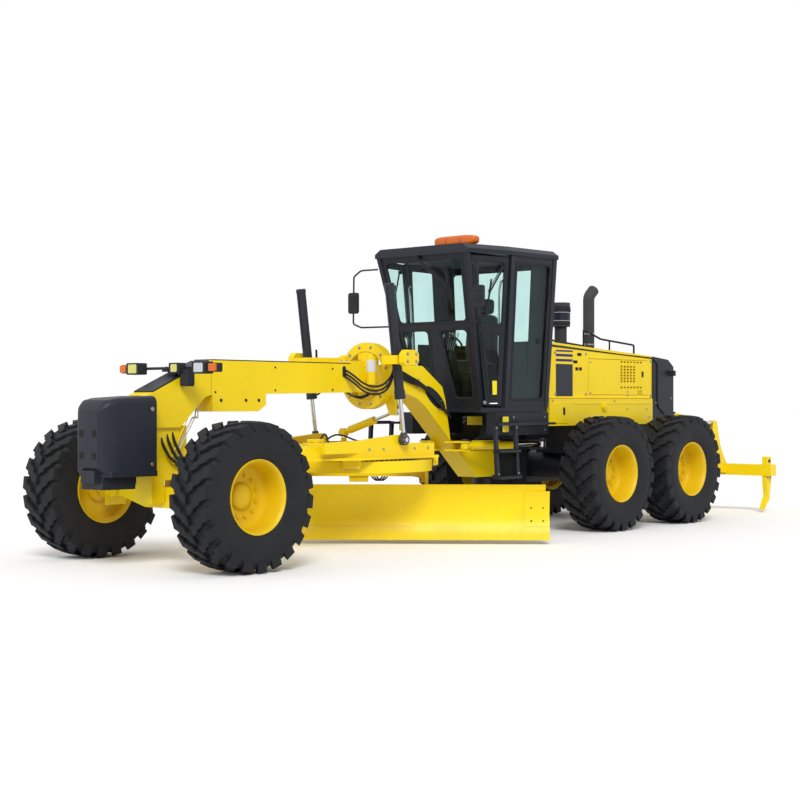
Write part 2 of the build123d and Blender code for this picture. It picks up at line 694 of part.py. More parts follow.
front_wall = [corner(post_a, 0, -1), corner(post_a, 0, 1), corner(post_a, 1, 1), corner(post_a, 1, -1)]
door_wall = [corner(post_a, 0), corner(post_b, 0), corner(post_b, 1), corner(post_a, 1)]
side_wall = [corner(post_b, 0), corner(post_c, 0), corner(post_c, 1), corner(post_b, 1)]
rear_wall = [corner(post_c, 0, 1), corner(post_c, 0, -1), corner(post_c, 1, -1), corner(post_c, 1, 1)]

# windows; columns: distance from the first post, from the last post, foot and head as
# shares of the height from sill to roof
front_windows = ((70, 70, 0.555, 0.965), (70, 690, 0.06, 0.515), (690, 70, 0.06, 0.515))
side_windows = ((70, 70, 0.05, 0.95),)
rear_windows = ((120, 120, 0.42, 0.94),)
door_windows = ((105, 100, 0.53, 0.945), (105, 100, 0.06, 0.49))


def walled(wall_corners, windows):
    panel = patch(wall_corners, 0.0, 0.0, 0.0, 1.0, wall)
    for start, end, t0, t1 in windows:
        panel = panel - patch(wall_corners, start, end, t0, t1, 2 * wall)
    return panel


def panes(wall_corners, windows):
    return [patch(wall_corners, start, end, t0, t1, glass_thickness) for start, end, t0, t1 in windows]


def cab_plan(level, grow=0.0):
    """The cab's outline at the sill (0) or the roof (1), counted round from front right."""
    left = [post[level] for post in (post_a, post_b, post_c)]
    middle_x = (left[0][0] + left[2][0]) / 2
    left = [(x + math.copysign(grow, x - middle_x), y + grow) for x, y in left]
    return left + [(x, -y) for x, y in reversed(left)]


def cab_shell():
    left = walled(side_wall, side_windows)
    shape = walled(front_wall, front_windows) + walled(rear_wall, rear_windows)
    shape = shape + left + other_side(left)
    for post in (post_a, post_b, post_c):
        upright = bar(corner(post, 0).to_tuple(), corner(post, 1).to_tuple(), post_size, post_size * 0.8)
        shape = shape + upright + other_side(upright)
    shape = shape + floor_plate(cab_plan(0, wall / 2), sill_z - 60, sill_z)
    roof = [Wire.make_polygon([(x, y, z) for x, y in cab_plan(1, grow)], close=True)
            for z, grow in ((roof_z - 20, 45.0), (roof_z + 30, 45.0), (cab_top_z, -40.0))]
    return shape + Solid.make_loft(roof, ruled=True)


def cab_door():
    """Left door between posts A and B, and its panes."""
    door = patch(door_wall, door_front_gap, door_rear_gap, 0.012, 0.975, wall - 6)
    for start, end, t0, t1 in door_windows:
        door = door - patch(door_wall, start, end, t0, t1, 2 * wall)
    return door


def cab_door_glass():
    return Compound(panes(door_wall, door_windows))


def cab_interior():
    """Seat on its box, and the steering wheel on its console."""
    base = seat_pan_z
    shape = block(seat_x - 230, seat_x + 250, -250, 250, base, base + 120)
    shape = shape + block(seat_x - 180, seat_x + 180, -180, 180, sill_z, base)
    shape = shape + side_plate([(seat_x - 230, base + 120), (seat_x - 120, base + 120),
                                (seat_x - 180, base + 750), (seat_x - 270, base + 750)], -240, 240)
    shape = shape + side_plate([(seat_x - 190, base + 750), (seat_x - 270, base + 750),
                                (seat_x - 275, base + 960), (seat_x - 205, base + 960)], -130, 130)
    console = side_plate([(-4660, sill_z), (-4800, sill_z), (-4640, 2280), (-4500, 2310)], -130, 130)
    wheel = Pos(-4620, 0, 2430) * (Rot(0, -35, 0) * Solid.make_torus(190, 14))
    column = rod((-4560, 0, 2270), (-4620, 0, 2430), 30.0)
    spokes = Pos(-4620, 0, 2430) * (Rot(0, -35, 0) * Solid.make_box(24, 380, 16, Plane((-12, -190, -8))))
    return Compound([*shape.solids(), *(console + column + spokes + wheel).solids()])


# ---------------------------------------------------------------- rear body
def rear_frame():
    """Two rails with cross members, ripper brackets and the tow clevis."""
    shape = Compound([block(rail_rear_x, -5800, side * (rail_y - rail_half_width),
                            side * (rail_y + rail_half_width), rail_bottom_z, rail_top_z)
                      for side in (1, -1)])
    for x0, x1 in ((-6900, -6780), (rail_rear_x, rail_rear_x + 140)):
        shape = shape + block(x0, x1, -rail_y, rail_y, rail_bottom_z, rail_top_z)
    for side in (1, -1):
        inner, outer = side * (ripper_arm_y - 80), side * (ripper_arm_y - 58)
        low, high = sorted((inner, outer))
        shape = shape + side_plate([(rail_rear_x + 160, rail_bottom_z), (rail_rear_x + 160, 1560),
                                    (ripper_base[0] - 60, 1520), (ripper_base[0] - 60, 1380),
                                    (ripper_pivot_x - 70, 900), (ripper_pivot_x - 50, 780),
                                    (ripper_pivot_x + 60, 780)], low, high)
        shape = shape + block(rail_rear_x, rail_rear_x + 140, side * rail_y, outer, rail_bottom_z, rail_top_z)
        # columns: place of the pin along X and Z, radius
        for x, z, radius in ((ripper_pivot_x, ripper_pivot_z, 35.0), (*ripper_base, 26.0)):
            shape = shape + rod((x, inner, z), (x, side * (ripper_arm_y + 60), z), radius)
    for z0 in (1100, 1180):
        shape = shape + floor_plate([(rail_rear_x + 20, -90), (rail_rear_x - 110, -70),
                                     (rail_rear_x - 110, 70), (rail_rear_x + 20, 90)], z0, z0 + 35)
    return shape - rod((rail_rear_x - 60, 0, 1000), (rail_rear_x - 60, 0, 1300), 25.0)


def pivot_tower():
    """Cross box at the rails' front ends with the articulation pivot's lugs and pin, and the cab's base."""
    shape = block(-5900, -5700, -rail_y + rail_half_width, rail_y - rail_half_width, 560, 1538)
    for z0, z1 in ((foot_top_z + 12, foot_top_z + 130), (560, foot_bottom_z - 12)):
        shape = shape + block(-5700, pivot_x, -pivot_boss_radius, pivot_boss_radius, z0, z1)
        shape = shape + rod((pivot_x, 0, z0), (pivot_x, 0, z1), pivot_boss_radius - 10)
    shape = shape + rod((pivot_x, 0, 570), (pivot_x, 0, foot_top_z + 120), pivot_radius)
    # ears for the articulation cylinders, beside the box and past the rails
    rx, ry = artic_rear
    for side in (1, -1):
        for z0 in (artic_z + 40, artic_z - 62):
            ears = [(rx + 250, side * 280), (rx + 150, side * 280), (rx + 150, side * 415),
                    (rx - 60, side * 415), (rx - 60, side * (ry + 70)), (rx + 45, side * (ry + 70)),
                    (rx + 200, side * 430), (rx + 250, side * 430)]
            shape = shape + floor_plate(ears, z0, z0 + 22)
    # cross beam and side boxes that the cab stands on
    shape = shape + block(-5860, -5560, -560, 560, 1480, 1538)
    for side in (1, -1):
        shape = shape + floor_plate([(-4640, side * 600), (-4640, side * 760), (-4780, side * 840),
                                     (-5620, side * 840), (-5620, side * 560), (-4780, side * 560)],
                                    1260, 1538)
    return shape


def tandem_axle():
    """Rear axle housing with a chain case and two hubs on each side."""
    middle = -wheelbase
    half = tandem_spacing / 2
    shape = rod((middle, -700, 800), (middle, 700, 800), 190.0)
    disc_in = wheel_y - disc_inset - disc_thickness / 2 - hub_in
    for side in (1, -1):
        y0, y1 = sorted((side * 690, side * 880))
        case = side_plate([(middle - half - 60, 530), (middle + half + 60, 530), (middle + half + 230, 700),
                           (middle + half + 200, 880), (middle + 350, 1010), (middle - 350, 1010),
                           (middle - half - 200, 880), (middle - half - 230, 700)], y0, y1)
        shape = shape + case
        for x in (middle - half, middle + half):
            ends = sorted((side * 870, side * (disc_in - gap)))
            shape = shape + rod((x, ends[0], axle_z), (x, ends[1], axle_z), 130.0)
    saddle = block(middle - 260, middle + 260, -420, 420, 960, rail_bottom_z)
    return shape + saddle


def engine():
    shape = block(-8250, -6950, -330, 330, 1380, 2130)
    return shape + block(-6900, -6350, -250, 250, 1380, 1800)


def hood_body():
    """The hood's outer form, not hollowed."""
    outline = [(hood_front_x, hood_bottom_z), (hood_front_x, cap_front_z), (hood_rear_x, cap_rear_z),
               (hood_rear_x, hood_bottom_z)]
    return side_plate(outline, -hood_half_width, hood_half_width)


def hood():
    """Yellow hood shell with its black cap; the side doors' openings are cut."""
    shape = hood_body()
    inside = [(hood_front_x - hood_wall, hood_bottom_z - 10), (hood_front_x - hood_wall, cap_front_z - 62),
              (hood_rear_x + hood_wall, cap_rear_z - 62), (hood_rear_x + hood_wall, hood_bottom_z - 10)]
    shape = shape - side_plate(inside, -hood_half_width + hood_wall, hood_half_width - hood_wall)
    shape = shape - block(door_rear_x - gap, door_front_x + gap, -700, 700, door_bottom_z - gap,
                          door_top_z + gap)
    post = block(hood_front_x, -5880, -hood_half_width, hood_half_width, hood_bottom_z, cap_front_z)
    foot = block(hood_front_x, -5880, -rail_y, rail_y, 1540, hood_bottom_z)
    return shape + post + foot


# groups of louvre slots in an engine door; columns: rear and front end, bottom, top, rows, slots a row
louvre_groups = ((-8205, -7625, 2212, 2236, 1, 7), (-8030, -7625, 1935, 2180, 6, 5),
                 (-8205, -7625, 1858, 1884, 1, 7), (-8205, -8070, 1775, 1838, 2, 2))


def engine_door():
    """Side door of the hood with its groups of louvre slots."""
    shape = block(door_rear_x, door_front_x, hood_half_width - hood_wall, hood_half_width + 4,
                  door_bottom_z, door_top_z)
    slots = []
    for x0, x1, z0, z1, rows, count in louvre_groups:
        wide, tall = (x1 - x0) / count, (z1 - z0) / rows
        for place in range(rows * count):
            x = x0 + (place % count + 0.5) * wide
            z = z0 + (place // count + 0.5) * tall
            slots.append(block(x - 0.33 * wide, x + 0.33 * wide, hood_half_width - 2 * hood_wall,
                               hood_half_width + 20, z - 0.33 * tall, z + 0.33 * tall))
    return shape.cut(*slots)


def radiator_shroud():
    shape = side_plate([(hood_rear_x, rail_top_z + 60), (hood_rear_x, cap_rear_z),
                        (-8900, 2280), (shroud_rear_x, 2180), (shroud_rear_x, rail_top_z),
                        (-8700, rail_top_z)], -hood_half_width, hood_half_width)
    return shape


def side_tanks():
    tank = side_plate([(-5870, 1360), (-5870, 1715), (-8380, 1715), (-8380, 1420), (-8200, 1360)],
                      rail_y + rail_half_width + 2, 680)
    return both_sides(tank)


def exhaust_and_intake():
    stack = bent_tube([(-7780, 0, 2350), (-7780, 0, 3160), (-7900, 0, 3260)], 80.0, 120.0)
    stem = rod((-7090, 0, 2400), (-7090, 0, 2720), 85.0)
    bowl = rod((-7090, 0, 2710), (-7090, 0, 3040), 130.0)
    return Compound([*(stack - hood_body()).solids(), *(stem - hood_body() + bowl).solids()])


def ladders():
    shape = None
    for x in (-4290, -4690):
        post = bar((x, 1040, 740), (x, 1000, 1420), 50, 40)
        shape = post if shape is None else shape + post
    for z in (755, 1075, 1400):
        shape = shape + block(-4700, -4280, 980, 1090, z - 15, z + 15)
    shape = shape + block(-4720, -4640, 860, 1010, 1385, 1415) + block(-5560, -4640, 840, 1000, 1385, 1415)
    return both_sides(shape)


def rails_and_mirrors():
    rail = bent_tube([(-7060, 400, 2400), (-7060, 400, 2660), (-7480, 400, 2540), (-8330, 400, 2480),
                      (-8330, 400, 2310)], 14.0, 45.0)
    mirror_arm = bent_tube([(-4130, 740, 3350), (-3960, 900, 3300), (-3960, 1000, 2960)], 11.0, 60.0)
    glass = block(-3990, -3940, 930, 1090, 2790, 3060)
    return Compound([*both_sides(rail - hood_body()).solids(), *both_sides(mirror_arm + glass).solids()])


def beacon():
    base = block(-4870, -4730, -330, 330, cab_top_z, cab_top_z + 60)
    lens = block(-4880, -4720, -340, 340, cab_top_z + 60, cab_top_z + 190)
    return base + lens


def rear_lamps():
    lamp = block(-9130, shroud_rear_x, 430, 560, 1900, 2030)
    return both_sides(lamp)


# ---------------------------------------------------------------- ripper
def ripper():
    bz, bx = ripper_beam_z, ripper_beam_x
    beam = block(bx - 90, bx + 90, -ripper_half_width, ripper_half_width, bz - 85, bz + 85)
    for side in (1, -1):
        y0, y1 = sorted((side * (ripper_arm_y - 46), side * (ripper_arm_y + 46)))
        arm = side_plate([(ripper_pivot_x + 60, ripper_pivot_z - 60),
                          (ripper_pivot_x + 60, ripper_pivot_z + 60), (ripper_pivot_x - 500, 940),
                          (ripper_ear[0] + 70, ripper_ear[1] - 90), (ripper_ear[0] + 50, ripper_ear[1] + 50),
                          (ripper_ear[0] - 50, ripper_ear[1] + 40), (-10560, 1000), (bx + 60, bz + 60),
                          (bx + 60, bz - 60)], y0, y1)
        hole = rod((ripper_pivot_x, y0 - 5, ripper_pivot_z), (ripper_pivot_x, y1 + 5, ripper_pivot_z),
                   35 + pin_play)
        slot = block(ripper_ear[0] - 95, ripper_ear[0] + 110, side * ripper_arm_y - 32,
                     side * ripper_arm_y + 32, ripper_ear[1] - 110, ripper_ear[1] + 80)
        beam = beam + (arm - hole - slot)
    for y in (-1180.0, 0.0, 1180.0):
        shank = side_plate([(bx - 75, 470), (bx - 75, 840), (bx + 75, 840), (bx + 75, 470),
                            (bx + 40, 250), (bx + 160, shank_tip_z), (bx - 20, 190)], y - 38, y + 38)
        beam = beam + shank
    return beam


# ---------------------------------------------------------------- write all
def main():
    write_wheels()
    write("front_axle", front_axle())
    write("lean_bracket_left", lean_bracket())
    write("lean_bracket_right", other_side(lean_bracket()))
    write("knuckle_left", knuckle())
    write("knuckle_right", other_side(knuckle()))
    write("front_frame", front_frame())
    write("counterweight", counterweight())
    write("headlamps", headlamps())
    write("blade_saddle", blade_saddle())
    write("lift_barrels", Compound([*lift_barrel(1).solids(), *lift_barrel(-1).solids()]))
    write("lift_rods", Compound([*lift_rod(1).solids(), *lift_rod(-1).solids()]))
    write("drawbar", drawbar())
    write("circle", circle_ring())
    write("circle_legs", Compound([*circle_leg(1), *circle_leg(-1)]))
    write("blade_carrier", blade_carrier())
    write("moldboard", moldboard())
    write("blade_rails", blade_rails())
    write("cutting_edge", cutting_edge())
    barrel, stem = cylinder_pair(shift_base, shift_ear, 0.60, 46.0, 20.0, 40, shift_eye_half, (1, 0, 0),
                                 None, 300, shift_pin_radius + pin_play)
    write("centre_shift_barrel", barrel)
    write("centre_shift_rod", stem)
    for label, side in (("left", 1), ("right", -1)):
        base = (artic_front[0], side * artic_front[1], artic_z)
        eye = (artic_rear[0], side * artic_rear[1], artic_z)
        barrel, stem = cylinder_pair(base, eye, 0.60, artic_barrel_radius, artic_rod_radius, 34, 34,
                                     (0, 0, 1), 30 + pin_play, 420)
        write(f"articulation_barrel_{label}", barrel)
        write(f"articulation_rod_{label}", stem)
    write("rear_frame", rear_frame())
    write("pivot_tower", pivot_tower())
    write("tandem_axle", tandem_axle())
    write("cab_shell", cab_shell())
    glass = panes(front_wall, front_windows) + panes(rear_wall, rear_windows)
    side_panes = panes(side_wall, side_windows)
    glass += side_panes + [solid for pane in side_panes for solid in other_side(pane).solids()]
    write("cab_glass", Compound(glass))
    write("cab_door_left", cab_door())
    write("cab_door_right", other_side(cab_door()))
    write("cab_door_glass_left", cab_door_glass())
    write("cab_door_glass_right", other_side(cab_door_glass()))
    write("cab_interior", cab_interior())
    write("engine", engine())
    write("hood", hood())
    write("engine_door_left", engine_door())
    write("engine_door_right", other_side(engine_door()))
    write("radiator_shroud", radiator_shroud())
    write("side_tanks", side_tanks())
    write("exhaust_and_intake", exhaust_and_intake())
    write("ladders", ladders())
    write("rails_and_mirrors", rails_and_mirrors())
    write("beacon", beacon())
    write("rear_lamps", rear_lamps())
    write("ripper", ripper())
    barrels, rods = [], []
    for side in (1, -1):
        base = (ripper_base[0], side * ripper_arm_y, ripper_base[1])
        eye = (ripper_ear[0], side * ripper_arm_y, ripper_ear[1])
        barrel, stem = cylinder_pair(base, eye, 0.62, ripper_barrel_radius, ripper_rod_radius, 30, 20,
                                     (0, 1, 0), 26 + pin_play, 268)
        barrels += barrel.solids()
        rods += stem.solids()
    write("ripper_barrels", Compound(barrels))
    write("ripper_rods", Compound(rods))


main()
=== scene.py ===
import json
import math

import bmesh
import bpy
from mathutils import Matrix, Vector


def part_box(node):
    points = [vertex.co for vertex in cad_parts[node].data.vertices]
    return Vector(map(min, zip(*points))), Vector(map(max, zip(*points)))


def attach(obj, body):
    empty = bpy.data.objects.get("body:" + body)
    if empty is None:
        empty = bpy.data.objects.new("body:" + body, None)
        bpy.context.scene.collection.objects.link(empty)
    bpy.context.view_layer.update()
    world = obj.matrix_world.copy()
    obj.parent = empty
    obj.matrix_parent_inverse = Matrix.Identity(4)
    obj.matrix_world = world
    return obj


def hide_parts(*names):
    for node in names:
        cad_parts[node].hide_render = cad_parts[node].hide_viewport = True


# The dressed motor grader. Metres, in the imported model's own frame: X forward,
# Y to the machine's left, Z up, ground at z = 0.

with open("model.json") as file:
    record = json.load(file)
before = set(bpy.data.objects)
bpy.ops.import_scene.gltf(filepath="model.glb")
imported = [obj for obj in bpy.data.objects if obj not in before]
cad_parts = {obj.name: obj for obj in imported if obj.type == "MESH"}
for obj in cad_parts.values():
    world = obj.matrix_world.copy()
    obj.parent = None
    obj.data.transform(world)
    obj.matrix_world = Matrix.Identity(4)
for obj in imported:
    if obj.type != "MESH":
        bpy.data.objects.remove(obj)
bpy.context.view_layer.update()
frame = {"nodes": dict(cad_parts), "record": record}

JOINTS = {joint["name"]: joint for joint in frame["record"]["behaviour"]["joints"]}
SIDES = (("left", 1), ("right", -1))
AXLE_X = JOINTS["wheel_front_left_spin"]["pos_m"][0]
UP = Vector((0, 0, 1))


def joint_place(name):
    """Where a joint is, with X counted from the front axle as everywhere below."""
    return Vector(JOINTS[name]["pos_m"]) - Vector((AXLE_X, 0, 0))


def node_box(name):
    """A node's lowest and highest corners, with X counted from the front axle."""
    shift = Vector((AXLE_X, 0, 0))
    low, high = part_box(name)
    return Vector(low) - shift, Vector(high) - shift


# ---------------------------------------------------------------- materials
def linear(rgb, share=1.0):
    """Linear colour of an sRGB colour given as 0 to 255, darkened to a share of it."""
    def one(v):
        v *= share / 255
        return v / 12.92 if v <= 0.04045 else ((v + 0.055) / 1.055) ** 2.4
    return (*[one(v) for v in rgb], 1.0)


def feed(node, inputs):
    """Sets a node's inputs: each from another node's output, or to a number or colour."""
    for key, value in inputs.items():
        if hasattr(value, "links"):
            node.id_data.links.new(value, node.inputs[key])
        else:
            node.inputs[key].default_value = value


def add_node(tree, kind, output, inputs, **settings):
    """Adds a node, sets it up and gives back one of its outputs."""
    node = tree.nodes.new("ShaderNode" + kind)
    for key, value in settings.items():
        setattr(node, key, value)
    feed(node, inputs)
    return node.outputs[output]


def new_material(name):
    material = bpy.data.materials.new(name)
    material.use_nodes = True
    tree = material.node_tree
    return material, tree, tree.nodes["Principled BSDF"]


def noise(tree, scale, detail=4.0, rough=0.5, stretch=(1, 1, 1)):
    coords = add_node(tree, "TexCoord", "Object", {})
    place = add_node(tree, "Mapping", "Vector", {"Vector": coords, "Scale": stretch})
    return add_node(tree, "TexNoise", "Fac", {"Vector": place, "Scale": scale, "Detail": detail,
                                              "Roughness": rough})


def ramp(tree, value, low, high, first=0.0, last=1.0):
    return add_node(tree, "MapRange", "Result", {"Value": value, "From Min": low, "From Max": high,
                                                 "To Min": first, "To Max": last})


def maths(tree, operation, first, second):
    return add_node(tree, "Math", "Value", {0: first, 1: second}, operation=operation)


def blend_colours(tree, share, first, second):
    factor, colour_a, colour_b, colour_out = 0, 6, 7, 2
    return add_node(tree, "Mix", colour_out, {factor: share, colour_a: first, colour_b: second},
                    data_type="RGBA")


def bumps(tree, height, distance, strength=1.0):
    return add_node(tree, "Bump", "Normal", {"Height": height, "Distance": distance, "Strength": strength})


def painted(name, colour, shade, roughness, coat=0.05, dust=0.12):
    """Sprayed paint: faint cloudiness, orange peel, a little dust low down."""
    material, tree, shader = new_material(name)
    base = blend_colours(tree, ramp(tree, noise(tree, 1.7, 5), 0.3, 0.75), linear(colour), linear(shade))
    coords = add_node(tree, "TexCoord", "Object", {})
    height = add_node(tree, "SeparateXYZ", "Z", {"Vector": coords})
    speckle = ramp(tree, noise(tree, 9.0, 8, 0.7), 0.35, 0.8)
    share = ramp(tree, maths(tree, "MULTIPLY", ramp(tree, height, 1.3, 0.2), speckle), 0.0, 1.0, 0.0, dust)
    feed(shader, {"Base Color": blend_colours(tree, share, base, linear((150, 135, 105))),
                  "Roughness": ramp(tree, speckle, 0, 1, roughness - 0.04, roughness + 0.08),
                  "Specular IOR Level": 0.25, "Coat Weight": coat, "Coat Roughness": 0.25,
                  "Normal": bumps(tree, noise(tree, 260.0, 2), 0.0003, 0.35)})
    return material


def rubber(name, colour, worn):
    material, tree, shader = new_material(name)
    grime = ramp(tree, noise(tree, 6.0, 8, 0.65), 0.4, 0.75)
    feed(shader, {"Base Color": blend_colours(tree, grime, linear(colour), linear(worn)),
                  "Roughness": ramp(tree, grime, 0, 1, 0.62, 0.82), "Specular IOR Level": 0.22,
                  "Normal": bumps(tree, noise(tree, 140.0, 4), 0.0012, 0.5)})
    return material


def metal(name, colour, roughness):
    """Brushed metal whose streaks run upwards."""
    material, tree, shader = new_material(name)
    streak = ramp(tree, noise(tree, 60.0, 3, 0.6, (1, 1, 0.06)), 0.3, 0.7)
    feed(shader, {"Base Color": blend_colours(tree, streak, linear(colour), linear(colour, 0.9)),
                  "Metallic": 1.0, "Roughness": ramp(tree, streak, 0, 1, roughness, roughness + 0.1)})
    return material


def clear_glass(name, tint):
    """Tinted window: see-through, with a reflecting face and faint smears."""
    material, tree, shader = new_material(name)
    smear = ramp(tree, noise(tree, 3.0, 6, 0.6), 0.35, 0.8)
    feed(shader, {"Base Color": blend_colours(tree, smear, linear(tint), linear(tint, 0.97)),
                  "Roughness": ramp(tree, smear, 0, 1, 0.0, 0.03), "Transmission Weight": 1.0, "IOR": 1.2})
    return material


def glowing(name, colour, strength):
    """Moulded lens with small cells, lit from within."""
    material, tree, shader = new_material(name)
    cells = add_node(tree, "TexVoronoi", "Distance", {"Scale": 90.0})
    share = ramp(tree, cells, 0.0, 0.6)
    feed(shader, {"Base Color": blend_colours(tree, share, linear(colour), linear(colour, 0.8)),
                  "Roughness": 0.15, "Emission Color": linear(colour), "Emission Strength": strength,
                  "Specular IOR Level": 0.3, "Coat Weight": 0.15, "Normal": bumps(tree, share, 0.002, 0.3)})
    return material


def woven(name, colour, second):
    material, tree, shader = new_material(name)
    coords = add_node(tree, "TexCoord", "Object", {})
    weft, warp = [add_node(tree, "TexWave", "Fac", {"Vector": coords, "Scale": 140.0, "Distortion": 0.6},
                           bands_direction=axis) for axis in ("X", "Z")]
    weave = maths(tree, "MAXIMUM", weft, warp)
    feed(shader, {"Base Color": blend_colours(tree, weave, linear(colour), linear(second)), "Roughness": 0.9,
                  "Sheen Weight": 0.3, "Normal": bumps(tree, weave, 0.001, 0.5)})
    return material


MAT = {
    "yellow": painted("yellow_paint", (238, 208, 8), (231, 199, 6), 0.38),
    # rim paint: the body's yellow darkened as painted shade, for the tyre's shadow over the rim
    "rim_yellow_shaded": painted("rim_paint_shaded", (218, 182, 8), (208, 170, 6), 0.42),
    "charcoal": painted("charcoal_paint", (28, 33, 42), (24, 28, 37), 0.46, coat=0.02, dust=0.05),
    "black": painted("black_paint", (20, 22, 26), (16, 18, 22), 0.50, coat=0.02, dust=0.06),
    "barrel": painted("barrel_paint", (40, 43, 51), (34, 37, 45), 0.46, coat=0.02, dust=0.05),
    "navy": painted("navy_film", (24, 26, 104), (20, 22, 92), 0.35, dust=0.0),
    "panel_black": painted("black_film", (28, 33, 46), (24, 28, 40), 0.35, dust=0.0),
    "pale": painted("pale_label", (214, 216, 220), (196, 198, 204), 0.4, dust=0.05),
    "exhaust": painted("exhaust_black", (52, 51, 57), (66, 62, 64), 0.62, coat=0.0, dust=0.0),
    "grille_dark": painted("grille_dark", (20, 20, 20), (26, 25, 22), 0.8, coat=0.0, dust=0.0),
    "cast": painted("cast_iron", (70, 70, 72), (56, 56, 58), 0.7, coat=0.0, dust=0.2),
    "tyre": rubber("tyre_rubber", (25, 26, 30), (37, 38, 41)),
    "hose": rubber("hose_rubber", (30, 31, 34), (44, 45, 48)),
    "plastic": rubber("black_plastic", (34, 36, 41), (42, 44, 50)),
    "chrome": metal("chrome_rod", (215, 217, 222), 0.12),
    "steel": metal("bolt_steel", (168, 166, 160), 0.35),
    "edge": painted("edge_steel", (236, 205, 18), (222, 190, 30), 0.42, dust=0.16),
    "glass": clear_glass("window_glass", (226, 246, 244)),
    "lining": rubber("cab_lining", (30, 36, 39), (38, 45, 48)),
    "label_yellow": painted("label_yellow", (238, 222, 40), (226, 206, 30), 0.4, dust=0.05),
    "seam": painted("panel_seam", (120, 100, 20), (104, 88, 18), 0.6, coat=0.0, dust=0.1),
    "lamp": glowing("lamp_lens", (226, 224, 120), 0.12),
    "lamp_white": glowing("work_lens", (205, 212, 220), 0.12),
    "amber": glowing("amber_lens", (236, 112, 4), 0.08),
    "red": glowing("red_lens", (170, 24, 20), 0.15),
    "seat": woven("seat_cloth", (34, 36, 42), (52, 54, 62)),
}

# look of every solid that isn't yellow
CAD_LOOK = {node: look for look, nodes in {
    "charcoal": "cab_shell cab_door_left cab_door_right counterweight radiator_shroud tandem_axle "
                "ladders pivot_tower",
    "barrel": "lift_barrels",
    "black": "rails_and_mirrors rear_frame",
    "exhaust": "exhaust_and_intake",
    "plastic": "headlamps cab_interior rear_lamps",
    "amber": "beacon",
    "cast": "engine",
    "edge": "cutting_edge",
    "glass": "cab_glass cab_door_glass_left cab_door_glass_right",
    "chrome": "lift_rods ripper_rods centre_shift_rod articulation_rod_left articulation_rod_right",
}.items() for node in nodes.split()}


def dress_cad():
    for name, node in frame["nodes"].items():
        look = MAT[CAD_LOOK.get(name, "yellow")]
        node.data.materials.clear()
        node.data.materials.append(look)


# ---------------------------------------------------------------- mesh helpers
def finish_piece(mesh, name, look, body="rear_frame", smooth=35.0):
    """Turns a bmesh, made with X from the front axle, into a piece that rides on a body."""
    bmesh.ops.translate(mesh, vec=(AXLE_X, 0, 0), verts=mesh.verts)
    mesh.normal_update()
    data = bpy.data.meshes.new(name)
    mesh.to_mesh(data)
    mesh.free()
    data.materials.append(MAT[look])
    piece = bpy.data.objects.new(name, data)
    bpy.context.scene.collection.objects.link(piece)
    if smooth:
        data.polygons.foreach_set("use_smooth", [True] * len(data.polygons))
        data.set_sharp_from_angle(angle=math.radians(smooth))
    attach(piece, body)
    return piece


def bevel(piece, width, segments=2, angle=30.0):
    modifier = piece.modifiers.new("edges", "BEVEL")
    modifier.width = width
    modifier.segments = segments
    modifier.limit_method = "ANGLE"
    modifier.angle_limit = math.radians(angle)
    modifier.harden_normals = True


def circle(count, radius=1.0, phase=0.0):
    """Evenly spaced points round a circle; phase is in steps."""
    angles = [math.tau * (k + phase) / count for k in range(count)]
    return [(radius * math.cos(a), radius * math.sin(a)) for a in angles]


def mirrored(point, side):
    """A point given for the left side, moved to the side that is wanted."""
    return Vector((point[0], side * point[1], point[2]))


def skin(mesh, rings, caps=(True, True), closed=False):
    """Joins each ring of points to the next; a ring of one point is a pole."""
    rows = [[mesh.verts.new(p) for p in ring] for ring in rings]
    faces = []
    for first, second in zip(rows, rows[1:] + rows[:1] if closed else rows[1:]):
        count = max(len(first), len(second))
        for i in range(count):
            j = (i + 1) % count
            corners = (first[i % len(first)], first[j % len(first)],
                       second[j % len(second)], second[i % len(second)])
            faces.append(mesh.faces.new(tuple(dict.fromkeys(corners))))
    if caps[0]:
        faces.append(mesh.faces.new(rows[0][::-1]))
    if caps[1]:
        faces.append(mesh.faces.new(rows[-1]))
    bmesh.ops.recalc_face_normals(mesh, faces=faces)


def lathe(mesh, profile, centre, side, segments, closed=True):
    """Turns a list of (y, radius) about Y through centre; side -1 mirrors it across."""
    skin(mesh, [[centre + Vector((x, side * y, z)) for x, z in circle(segments, r)] for y, r in profile],
         (False, False), closed)


def add_plate(mesh, outline, axis, a, b):
    """An outline in the two axes that are not axis, drawn out from a to b along it."""
    at = "xyz".index(axis)
    skin(mesh, [[(*p[:at], t, *p[at:]) for p in outline] for t in (a, b)])


def add_box(mesh, x0, x1, y0, y1, z0, z1):
    add_plate(mesh, [(x0, y0), (x1, y0), (x1, y1), (x0, y1)], "z", z0, z1)


def add_rod(mesh, start, end, radius, sides=24, end_radius=None):
    start, end = Vector(start), Vector(end)
    turn = UP.rotation_difference(end - start).to_matrix()
    skin(mesh, [[place + turn @ Vector((*p, 0)) for p in circle(sides, r)]
                for place, r in ((start, radius), (end, end_radius or radius))])


def add_post(mesh, x, y, z0, z1, radius, sides=24):
    """An upright rod."""
    add_rod(mesh, (x, y, z0), (x, y, z1), radius, sides)


def add_bolts(mesh, places, axis, radius, height):
    """Hexagon heads with washers under them, standing on their places along axis."""
    turn = UP.rotation_difference(Vector(axis)).to_matrix()
    foot = height * 0.25
    for place in places:
        for r, low, high, sides in ((radius * 1.35, 0.0, foot, 12), (radius, foot, height, 6)):
            rings = [[Vector(place) + turn @ Vector((*p, z)) for p in circle(sides, r)] for z in (low, high)]
            skin(mesh, rings, (False, True))


# Shapes that both flanks have; y is given for the left one.
def flank_boxes(mesh, boxes):
    for side in (1, -1):
        for x0, x1, y0, y1, z0, z1 in boxes:
            add_box(mesh, x0, x1, side * y0, side * y1, z0, z1)


def flank_plates(mesh, outlines, y0, y1):
    for side in (1, -1):
        for outline in outlines:
            add_plate(mesh, outline, "y", side * y0, side * y1)


